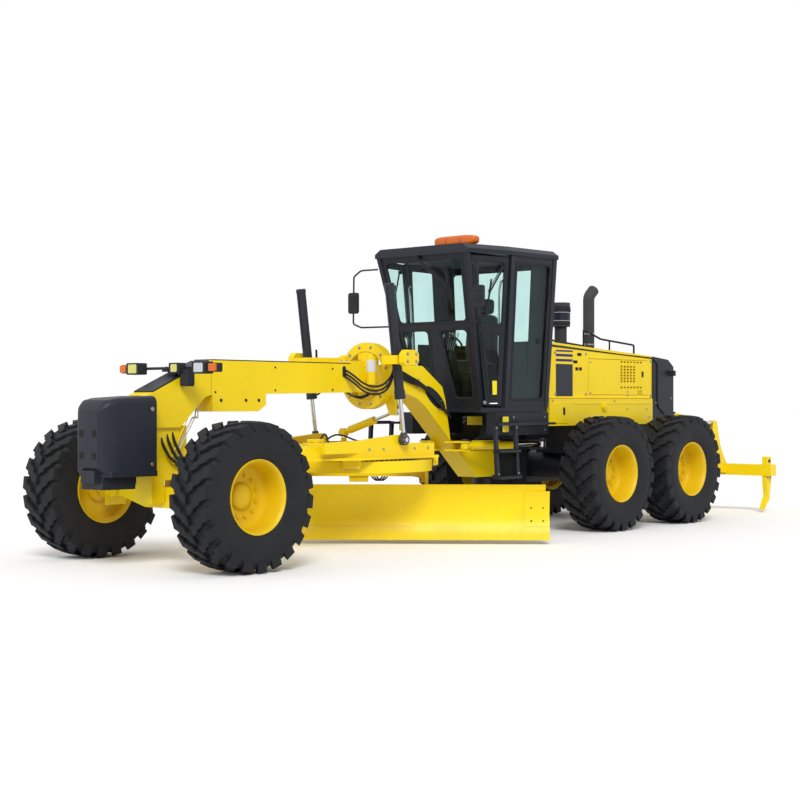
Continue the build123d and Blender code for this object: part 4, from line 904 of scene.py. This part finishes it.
# ---------------------------------------------------------------- front frame trim
def make_nose():
    """Dark covers along the top of the beam, the side plates' bolts and the nose plate."""
    cover = bin_of("beam_cover", "charcoal", "front_frame", 0.006)
    low, high, y = Vector((0.372, 0, 1.73)), Vector((-0.5, 0, 2.11)), 0.15
    way = (high - low).normalized()
    up = Vector((way.z, 0, -way.x))
    middle = low + way * 0.6
    for start, end, lift in ((low + way * 0.1, middle, 0.016), (middle, high - way * 0.02, 0.01)):
        skin(cover, [[(p.x, s * half, p.z) for p, s in ((start + rise, -1), (start + rise, 1),
                                                        (end + rise, 1), (end + rise, -1))]
                     for half, rise in ((y, up * 0), (y * 0.97, up * lift))])
    add_box(cover, -2.66, -0.53, -0.149, 0.149, 2.108, 2.122)
    label = bin_of("nose_label", "label_yellow", "front_frame", 0.001)
    add_box(label, 0.386, 0.428, -0.03, 0.07, 1.735, 1.741)
    bolts = bin_of("beam_bolts", "black", "front_frame")
    flank_bolts(bolts, 0.155, ((-0.56, 2.075), (-0.56, 1.775), (-1.44, 2.05), (-1.44, 1.8), (-2.35, 2.05),
                               (-2.35, 1.81), (0.33, 1.66), (0.33, 1.45), (-0.16, 1.9)), 0.009, 0.008)
    add_bolts(bolts, [(x, 0.155, 1.69) for x in (-0.64, -1.0, -1.19)], (0, 1, 0), 0.013, 0.012)
    flank_boxes(bin_of("beam_seams", "seam", "front_frame"), [(-0.505, -0.501, 0.1545, 0.1556, 1.752, 2.105)])
    flank_bolts(bin_of("nose_bolts", "steel", "front_frame"), 0.12, [(0.352, z) for z in (1.1, 1.36, 1.62)],
                0.013, 0.012)
    # hoses and pipes that run down behind the nose plate
    starts = ((0.155, 0.075), (0.075, 0.085), (0.0, 0.09), (0.155, -0.075), (0.055, -0.085))
    for k, (x, y) in enumerate(starts):
        side = math.copysign(1, y)
        run = [(x - back, y + side * out, z) for back, out, z in (
            (0, 0, 1.42), (0.01, 0.03, 1.3), (0.04, 0.075, 1.18), (0.1, 0.1, 1.07), (x + 0.13, 0.09, 0.99))]
        tube(f"front_hose_{k}", run, 0.016, "hose", "front_frame")
    for k, y in enumerate((0.125, 0.165)):
        run = [(-0.06, y, 1.2), (-0.13, y, 1.3), (-0.27, y - 0.01, 1.5), (-0.3, y - 0.02, 1.515),
               (-0.33, y - 0.03, 1.5), (-0.345, y - 0.04, 1.56), (-0.33, 0.11, 1.66)]
        tube(f"front_pipe_{k}", run, 0.007, "steel", "front_frame", 0.02)
    tube("front_rod", [(0.03, 0.145, 1.1), (-0.2, 0.145, 1.53), (-0.215, 0.13, 1.6)], 0.006, "yellow",
         "front_frame", 0.02)


def make_saddle_trim():
    """Accumulators, end blocks of the arms and the hoses at the lift cylinders."""
    yellow = bin_of("saddle_parts", "yellow", "front_frame", 0.006)
    pale = bin_of("saddle_labels", "pale", "front_frame")
    steel = bin_of("saddle_bolts", "steel", "front_frame")
    dark = bin_of("saddle_dark", "plastic", "front_frame", 0.003)
    tank_x, block_y, block_half = -2.93, 0.885, 0.045
    for y in (0.225, -0.225):
        add_post(yellow, tank_x, y, 1.87, 2.205, 0.056, 32)
        add_post(yellow, tank_x, y, 2.195, 2.225, 0.03)
        add_post(pale, tank_x, y, 2.02, 2.16, 0.0572, 32)
    flank_boxes(yellow, [(-2.96, -2.9, 0.15, 0.19, 1.92, 2.15)])
    # faceted end block outside each lift barrel's trunnion
    flank_plates(yellow, [[(-2.735, 2.085), (-2.925, 2.085), (-2.965, 2.125), (-2.965, 2.225), (-2.915, 2.262),
                           (-2.765, 2.262), (-2.715, 2.215), (-2.715, 2.115)]],
                 block_y - block_half, block_y + block_half)
    flank_bolts(steel, block_y + block_half, [(x, z) for x in (-2.765, -2.915) for z in (2.13, 2.215)],
                0.014, 0.013)
    # painted shade: a dark plate where the slot in the beam's side is, and the hoses out of it
    flank_plates(dark, [rounded(-2.575, -2.515, 1.955, 2.085, 0.025)], 0.148, 0.158)
    for k, drop in enumerate((0.0, 0.05, 0.09)):
        run = [(-2.545, 0.155, 2.045 - 0.04 * k), (-2.6, 0.22, 2.0 - 0.04 * k), (-2.68, 0.36, 1.86 - drop),
               (-2.76, 0.52, 1.84 - drop), (-2.86, 0.6, 1.95 - drop), (-2.895, 0.618, 2.1),
               (-2.893, 0.63, 2.24 + 0.03 * k)]
        flank_tubes(f"lift_hose_{{}}_{k}", run, 0.0125, "hose", "front_frame")
    for k in range(2):
        run = [(-2.6, 0.1, 1.8), (-2.66, 0.14, 1.745 - 0.015 * k), (-2.85, 0.16, 1.725 - 0.02 * k),
               (-2.99, 0.13, 1.77)]
        tube(f"under_hose_{k}", [(x, y + 0.03 * k, z) for x, y, z in run], 0.01, "hose", "front_frame")
    add_box(bin_of("saddle_top", "yellow", "front_frame", 0.004), -2.95, -2.7, -0.1, 0.1, 2.108, 2.15)
    add_bolts(steel, [(x, y, 2.15) for x in (-2.74, -2.82, -2.9) for y in (-0.07, 0.07)], UP, 0.012, 0.012)
    add_bolts(steel, [(-3.068, y, 1.98 + z) for y, z in circle(12, 0.345, 0.5)], (1, 0, 0), 0.013, 0.012)


def make_gooseneck():
    """Hoses along the gooseneck's flank, into the opening before the pivot, which is drawn as a dark plate of
    painted shade.
    """
    turn = Matrix.Rotation(math.radians(35), 2)
    oval = [Vector((-4.185, 1.715)) + turn @ Vector((0.235 * c, 0.085 * s)) for c, s in circle(28)]
    # dark oval plate where the opening is: painted shade
    flank_plates(bin_of("neck_openings", "plastic", "front_frame", 0.002), [oval], 0.153, 0.1575)
    # columns: x, y, z of the top hose, and how far y and z move with each lower one
    route = ((-3.52, 0.158, 2.05, 0, 1), (-3.66, 0.178, 1.985, 0, 1), (-3.83, 0.185, 1.925, 0.006, 0.6),
             (-3.97, 0.19, 1.85, 0, 0.4), (-4.1, 0.192, 1.765, 0, 0.3), (-4.24, 0.19, 1.655, 0, 0.3),
             (-4.37, 0.184, 1.56, 0, 0.2), (-4.47, 0.172, 1.47, 0, 0))
    for k in range(4):
        run = [(x, y + out * k, z - 0.028 * k * share) for x, y, z, out, share in route]
        flank_tubes(f"neck_hose_{{}}_{k}", run, 0.0115, "hose", "front_frame")
    flank_boxes(bin_of("neck_clips", "steel", "front_frame", 0.002), [
        (x - 0.014, x + 0.014, 0.155, 0.208, z + foot, z + foot + 0.008)
        for x, z in ((-3.83, 1.895), (-4.24, 1.635)) for foot in (-0.055, 0.045)])


def make_counterweight():
    """Cast front weight with soft edges, bolted on the nose plate."""
    mesh = bmesh.new()
    sections = []
    for x, half, low, high, cut in ((0.372, 0.324, 0.931, 1.734, 0.075), (0.78, 0.262, 0.931, 1.712, 0.07),
                                    (0.885, 0.236, 0.931, 1.69, 0.065), (0.95, 0.196, 0.985, 1.64, 0.055),
                                    (0.98, 0.15, 1.03, 1.585, 0.045)):
        # the upper two corners are round, the lower two are not
        upper = rounded(-half, half, low, high, cut, 6)[:14]
        sections.append([(x, y, z) for y, z in upper + [(-half, low), (half, low)]])
    skin(mesh, sections)
    # base plate and two steps under it; columns: corners of the left half from the rear
    for corners, z0, z1 in ((((0.372, 0.334), (0.88, 0.25), (0.93, 0.17)), 0.931, 0.988),
                            (((0.562, 0.224), (0.925, 0.168)), 0.806, 0.934),
                            (((0.64, 0.148), (0.984, 0.108)), 0.872, 0.998)):
        add_plate(mesh, [*corners, *[(x, -y) for x, y in corners[::-1]]], "z", z0, z1)
    piece = finish_piece(mesh, "weight_skin", "charcoal", "front_frame", 40)
    bevel(piece, 0.012, 3, 25)
    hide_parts("counterweight")
    # dark plates where the weight's recesses are: painted shade
    dark = bin_of("weight_recesses", "grille_dark", "front_frame")
    for y in (-0.1, 0.1):
        for z in (1.14, 1.36):
            face_plate(dark, y, z, 0.032, 0.034, 0.012, 0.975, 0.9815)
    flank_bolts(bin_of("weight_bolts", "steel", "front_frame"), 0.322, ((0.43, 1.05), (0.43, 1.6)), 0.017, 0.01)


# ---------------------------------------------------------------- drawbar, circle and blade trim
CIRCLE_X = -2.95
BLADE_TURN = math.radians(39.0)


def blade_at(u, v, z):
    """Point from blade coordinates: u forwards of its edges, v to its left end."""
    return Vector((CIRCLE_X + u * math.cos(BLADE_TURN) - v * math.sin(BLADE_TURN),
                   u * math.sin(BLADE_TURN) + v * math.cos(BLADE_TURN), z))


def blade_run(mesh, outline, v0, v1):
    """A bar along the blade whose outline is a list of (u, z)."""
    skin(mesh, [[blade_at(u, v, z) for u, z in outline] for v in (v0, v1)])


def make_blade_trim():
    """Plough bolts of the cutting edge and end plates, and the ribs behind them."""
    heads = bin_of("edge_bolts", "edge", "blade")
    tilt, way = math.radians(33.2), blade_at(1, 0, 0) - blade_at(0, 0, 0)
    out = way * math.cos(tilt) + UP * math.sin(tilt)
    for k in range(27):
        spot = blade_at(-0.0265, -1.95 + 0.155 * k, 0.112)
        add_rod(heads, spot, spot + out * 0.0045, 0.015, 14)
    ends = bin_of("end_bolts", "seam", "blade")
    for v in (-2.05, -1.9, 2.04, 2.18):
        for z, u in ((0.27, -0.082), (0.42, -0.105), (0.55, -0.082)):
            spot = blade_at(u, v, z)
            add_rod(ends, spot - way * 0.004, spot + way * 0.004, 0.011, 12)
    ribs = bin_of("blade_ribs", "yellow", "blade", 0.004)
    for v in (-1.7, 1.83):
        blade_run(ribs, [(-0.105, 0.64), (-0.15, 0.64), (-0.15, 0.362), (-0.14, 0.362)], v - 0.01, v + 0.01)


def make_circle_trim():
    """The circle's inner teeth, its shoes, the drive's cover and the gussets of the yoke."""
    teeth = bin_of("circle_teeth", "cast", "circle")
    count = 72
    half = math.tau / count * 0.27
    for k in range(count):
        a = math.tau * k / count
        outline = [(CIRCLE_X + r * math.cos(a + t), r * math.sin(a + t))
                   for r, t in ((0.762, -half), (0.762, half), (0.734, half * 0.5), (0.734, -half * 0.5))]
        add_plate(teeth, outline, "z", 0.885, 0.985)
    shoes = bin_of("circle_shoes", "yellow", "drawbar", 0.005)
    bolts = bin_of("drawbar_bolts", "steel", "drawbar")
    for degrees in (38, 142, 218, 322):
        c, s = math.cos(math.radians(degrees)), math.sin(math.radians(degrees))
        corners, spots = [[(CIRCLE_X + c * r - s * w, s * r + c * w) for r, w in places] for places in (
            ((0.88, -0.11), (0.88, 0.11), (0.945, 0.09), (0.945, -0.09)), ((0.912, -0.055), (0.912, 0.055)))]
        add_plate(shoes, corners, "z", 0.925, 1.022)
        add_bolts(bolts, [(*spot, 0.925) for spot in spots], -UP, 0.013, 0.014)
    drive, drive_x = bin_of("circle_drive", "yellow", "drawbar", 0.006), -2.235
    add_post(drive, drive_x, 0, 1.0, 1.205, 0.15, 40)
    add_post(drive, drive_x, 0, 1.205, 1.245, 0.105, 32)
    add_bolts(bolts, [(drive_x + x, y, 1.205) for x, y in circle(8, 0.128, 0.5)], UP, 0.012, 0.012)
    flank_bolts(bolts, 0.661, [(x, 1.135) for x in (-3.44, -3.2, -2.66, -2.42)], 0.012, 0.01)
    flank_tubes("drive_hose_{}", [(-2.36, 0.05, 1.235), (-2.44, 0.08, 1.3), (-2.56, 0.14, 1.285),
                                  (-2.66, 0.22, 1.225), (-2.76, 0.3, 1.195)], 0.011, "hose", "drawbar")
    gussets = bin_of("yoke_gussets", "yellow", "circle", 0.004)
    arc = [(0.5, 0.82)] + [(0.5 + 0.23 * math.sin(a), 0.745 + 0.04 * math.cos(a))
                              for a in (math.pi / 12 * k for k in range(1, 7))]
    outline = [(0.78, 0.875), *arc, (0.73, 0.705), (0.78, 0.705)]
    for side in (1, -1):
        skin(gussets, [[blade_at(u, side * v, z) for v, z in outline] for u in (-0.395, -0.35)])
    blade_run(gussets, [(-0.4, 0.79), (-0.345, 0.79), (-0.345, 0.712), (-0.385, 0.712)], -0.13, 0.1)
    for k in range(3):
        v = 0.14 + 0.03 * k
        run = [blade_at(-0.39, v, 0.775), blade_at(-0.36, v + 0.03, 0.735), blade_at(-0.36, v + 0.09, 0.725),
               blade_at(-0.39, v + 0.13, 0.775)]
        tube(f"yoke_hose_{k}", run, 0.009, "hose", "circle")


# ---------------------------------------------------------------- cylinders
LIFT_EYE = Vector((-2.963, 0.705, 1.238))
LIFT_TRUNNION = Vector((-2.83, 0.705, 2.15))
ARTICULATION_FRONT = Vector((-4.55, 0.33, 1.12))
ARTICULATION_REAR = Vector((-5.95, 0.5, 1.12))


def make_cylinder_trim():
    """Ball caps, wiper rings, pipes and pin heads of the cylinders."""
    caps = bin_of("ball_caps", "cast", "lift_rods", 0.005)
    pins = bin_of("lift_cap_bolts", "steel", "lift_rods")
    collars = bin_of("barrel_collars", "barrel", "lift_barrels", 0.003)
    axis = (LIFT_EYE - LIFT_TRUNNION).normalized()
    for label, side in SIDES:
        eye, trunnion = mirrored(LIFT_EYE, side), mirrored(LIFT_TRUNNION, side)
        add_rod(caps, eye + Vector((0, -0.034, 0)), eye + Vector((0, 0.034, 0)), 0.063, 36)
        add_rod(caps, eye + Vector((0.004, 0, 0.03)), eye + Vector((0.012, 0, 0.084)), 0.044, 28, 0.036)
        ring = [eye + Vector((x, side * 0.034, z)) for x, z in circle(6, 0.047)]
        add_bolts(pins, ring, (0, side, 0), 0.008, 0.008)
        for reach, length, radius in ((-0.865, 0.03, 0.06), (0.36, 0.03, 0.06), (0.425, 0.022, 0.066)):
            foot = trunnion + axis * reach
            add_rod(collars, foot, foot + axis * length, radius, 36)
        pipe = [trunnion + axis * r + Vector((0.062, 0, 0)) for r in (-0.83, -0.4, -0.16)]
        tube(f"lift_pipe_{label}", pipe, 0.008, "barrel", "lift_barrels")
    # articulation cylinders: pin heads and a pipe along each barrel
    for label, side in SIDES:
        front, rear = mirrored(ARTICULATION_FRONT, side), mirrored(ARTICULATION_REAR, side)
        heads = bin_of("articulation_pins", "cast", "front_frame", 0.003)
        add_post(heads, front.x, front.y, front.z + 0.06, front.z + 0.086, 0.042, 28)
        heads = bin_of("articulation_rear_pins", "cast", edge=0.003)
        add_post(heads, rear.x, rear.y, rear.z + 0.062, rear.z + 0.082, 0.042, 28)
        way = (rear - front).normalized()
        pipe = [front + way * r + UP * 0.06 for r in (0.12, 0.3, 0.62)]
        tube(f"articulation_pipe_{label}", pipe, 0.007, "yellow", f"articulation_barrel_{label}")


# ---------------------------------------------------------------- ladders, stacks and rear
def make_ladder_trim():
    pitch = 0.029
    flank_boxes(bin_of("ladder_treads", "charcoal", edge=0.002), [
        (-4.665 + pitch * k, -4.655 + pitch * k, 0.99, 1.08, z, z + 0.012)
        for z in (0.77, 1.09, 1.415) for k in range(13)])
    # woven guard between the posts, and the sheet behind it
    guard = [(-4.66 + pitch * k, -4.654 + pitch * k, 1.012, 1.018, 0.785, 1.06) for k in range(12)]
    guard += [(-4.665, -4.315, 1.018, 1.023, 0.8 + 0.03 * k, 0.806 + 0.03 * k) for k in range(9)]
    flank_boxes(bin_of("ladder_guards", "grille_dark"), guard + [(-4.665, -4.315, 1.004, 1.009, 0.775, 1.07)])
    flank_boxes(bin_of("ladder_frames", "charcoal", edge=0.002), [
        (x - 0.008, x + 0.008, 0.985, 1.085, 0.745, 0.8) for x in (-4.715, -4.265)])
    steel = bin_of("ladder_bolts", "steel")
    for z in (0.8, 1.36):
        # the posts lean in as they rise
        flank_bolts(steel, 1.0618 - 0.0105 * (z - 0.74) / 0.17, ((-4.29, z), (-4.69, z)), 0.011, 0.01)
    # blank yellow plate and a panel with its catch on the cab's base
    flank_plates(bin_of("base_plates", "label_yellow", edge=0.001), [rounded(-4.775, -4.655, 1.3, 1.49, 0.012)],
                 0.8405, 0.8425)
    flank_plates(bin_of("base_panels", "charcoal", edge=0.003), [rounded(-5.56, -4.84, 1.29, 1.51, 0.02)],
                 0.839, 0.846)
    flank_plates(bin_of("base_catches", "plastic", edge=0.002), [rounded(-5.02, -4.92, 1.39, 1.455, 0.012)],
                 0.845, 0.851)
    flank_bolts(steel, 0.846, [(x, z) for x in (-5.53, -4.87) for z in (1.32, 1.48)], 0.009, 0.008)


def make_stacks():
    """Clamps of the exhaust, and the pre-cleaner's lid, ribs and blank band."""
    exhaust_x, cleaner_x = -7.78, -7.09
    clamp = bin_of("stack_clamps", "steel", edge=0.002)
    for z in (2.47, 2.62):
        add_post(clamp, exhaust_x, 0, z, z + 0.022, 0.0835, 40)
    add_box(clamp, -7.7, -7.675, -0.014, 0.014, 2.462, 2.5)
    profile = ((2.705, 0.09), (2.712, 0.128), (2.74, 0.132), (2.745, 0.1335), (2.772, 0.1335), (2.777, 0.131),
               (2.955, 0.131), (2.96, 0.136), (2.985, 0.136), (2.992, 0.13), (3.022, 0.112), (3.036, 0.07),
               (3.04, 0.001))
    cleaner = bmesh.new()
    skin(cleaner, [[(cleaner_x + x, y, z) for x, y in circle(48, r)] for z, r in profile])
    finish_piece(cleaner, "precleaner_skin", "plastic")
    add_post(bin_of("precleaner_band", "panel_black"), cleaner_x, 0, 2.795, 2.9, 0.1325, 48)
    for z in (2.788, 2.902):
        add_post(bin_of("precleaner_ribs", "pale"), cleaner_x, 0, z, z + 0.005, 0.1332, 48)
    half = 0.004
    for x, y in circle(20, 0.134):
        x += cleaner_x
        add_box(bin_of("precleaner_vanes", "plastic"), x - half, x + half, y - half, y + half, 2.912, 2.952)


def make_rear_trim():
    """Lenses of the rear lamps, the work lamps, and bolts on the hubs and the tow pin."""
    rear, tandem_x, tandem_z = -9.13, -7.354, 0.8
    red, amber = bin_of("rear_red", "red", edge=0.002), bin_of("rear_amber", "amber", edge=0.002)
    work = bin_of("rear_work_lamps", "plastic", edge=0.004)
    glass = bin_of("rear_work_lens", "lamp_white", edge=0.002)
    for side in (1, -1):
        face_plate(red, side * 0.4675, 1.965, 0.0275, 0.053, 0.01, rear - 0.006, rear)
        face_plate(amber, side * 0.525, 1.965, 0.025, 0.053, 0.01, rear - 0.006, rear)
        y = side * 0.655 + 0.0065
        face_plate(work, y, 2.085, 0.0385, 0.04, 0.012, -8.985, -8.925)
        face_plate(glass, y, 2.085, 0.0305, 0.032, 0.01, -8.992, -8.983)
    flank_boxes(work, [(-8.96, -8.94, 0.61, 0.64, 2.065, 2.1)])
    spots = [(tandem_x + x, tandem_z + z) for x, z in circle(10, 0.155)]
    flank_bolts(bin_of("hub_bolts", "steel"), 0.8805, spots, 0.014, 0.013)
    flank_rods(bin_of("case_covers", "charcoal", edge=0.004), [(tandem_x, tandem_z, 0.879, 0.893, 0.125, 36)])
    pin, pin_x = bin_of("tow_pin", "steel", edge=0.003), -9.31
    add_post(pin, pin_x, 0, 1.085, 1.24, 0.0245)
    add_post(pin, pin_x, 0, 1.216, 1.244, 0.04)


def make_ripper_trim():
    """Wear tips, shank pins and pivot caps of the ripper."""
    tips = bin_of("ripper_tips", "yellow", "ripper", 0.004)
    pins = bin_of("ripper_pins", "cast", "ripper", 0.003)
    bolts = bin_of("ripper_bolts", "steel", "ripper")
    shank_x, pivot_x, pivot_z, cap_y = -10.83, -9.4, 0.85, 0.56
    outline = [(shank_x + x, z) for x, z in ((0.062, 0.215), (0.157, 0.047), (0.118, 0.075), (0.02, 0.208))]
    for y in (-1.18, 0.0, 1.18):
        add_plate(tips, outline, "y", y - 0.044, y + 0.044)
        for side in (1, -1):
            face = y + side * 0.038
            add_rod(pins, (shank_x, y, 0.775), (shank_x, face + side * 0.014, 0.775), 0.026)
            add_bolts(bolts, [(shank_x + 0.04, face, 0.525), (shank_x - 0.04, face, 0.525)], (0, side, 0),
                      0.014, 0.012)
    flank_rods(bin_of("ripper_caps", "yellow", "ripper", 0.004), [(pivot_x, pivot_z, 0.546, cap_y, 0.052, 32)])
    flank_bolts(bolts, cap_y, [(pivot_x + x, pivot_z + z) for x, z in circle(4, 0.042, 0.5)], 0.006, 0.006)


# ---------------------------------------------------------------- studio
def studio():
    scene = bpy.context.scene
    scene.view_settings.view_transform = "Standard"
    world = bpy.data.worlds.new("studio")
    world.use_nodes = True
    scene.world = world
    tree = world.node_tree
    # the sky is white where it is seen, and dimmer as a light
    shown = add_node(tree, "LightPath", "Is Camera Ray", {})
    path = shown.node
    for ray in ("Is Glossy Ray", "Is Transmission Ray"):
        shown = maths(tree, "MAXIMUM", shown, path.outputs[ray])
    feed(tree.nodes["Background"], {"Strength": ramp(tree, shown, 0, 1, 0.60, 1.0), "Color": (1, 1, 1, 1)})

    floor_data = bpy.data.meshes.new("floor")
    reach = 60.0
    floor_data.from_pydata([(-reach, -reach, 0), (reach, -reach, 0), (reach, reach, 0), (-reach, reach, 0)],
                           [], [(0, 1, 2, 3)])
    floor = bpy.data.objects.new("floor", floor_data)
    floor.location.z = -0.001
    scene.collection.objects.link(floor)
    material, _, shader = new_material("floor_white")
    feed(shader, {"Base Color": (0.93, 0.93, 0.93, 1), "Roughness": 0.9})
    floor_data.materials.append(material)

    # columns: name, direction that the light comes from, strength, softness in degrees
    for name, source, strength, spread in (("key", (0.62, 0.62, 0.75), 2.2, 22),
                                           ("fill", (0.9, -0.3, 0.45), 0.6, 60)):
        light = bpy.data.lights.new(name, "SUN")
        light.energy = strength
        light.angle = math.radians(spread)
        lamp = bpy.data.objects.new(name, light)
        lamp.rotation_euler = Vector(source).to_track_quat("Z", "Y").to_euler()
        scene.collection.objects.link(lamp)

    camera_data = bpy.data.cameras.new("camera")
    camera_data.sensor_width = 36.0
    camera_data.lens = 68.5
    camera = bpy.data.objects.new("camera", camera_data)
    camera.location = (AXLE_X + 10.261, 12.134, 1.676)
    yaw = 3.857
    camera.rotation_euler = (math.pi / 2 + 0.001, 0.0, yaw - math.pi / 2)
    scene.collection.objects.link(camera)
    scene.camera = camera


dress_cad()
make_wheels()
make_engine_doors()
make_hood()
make_shroud()
make_cab_seals()
make_wipers()
make_cab_fittings()
make_cab_inside()
make_lamps()
make_mirrors()
make_beacon()
make_nose()
make_saddle_trim()
make_gooseneck()
make_counterweight()
make_blade_trim()
make_circle_trim()
make_cylinder_trim()
make_ladder_trim()
make_stacks()
make_rear_trim()
make_ripper_trim()
flush_bins()
studio()
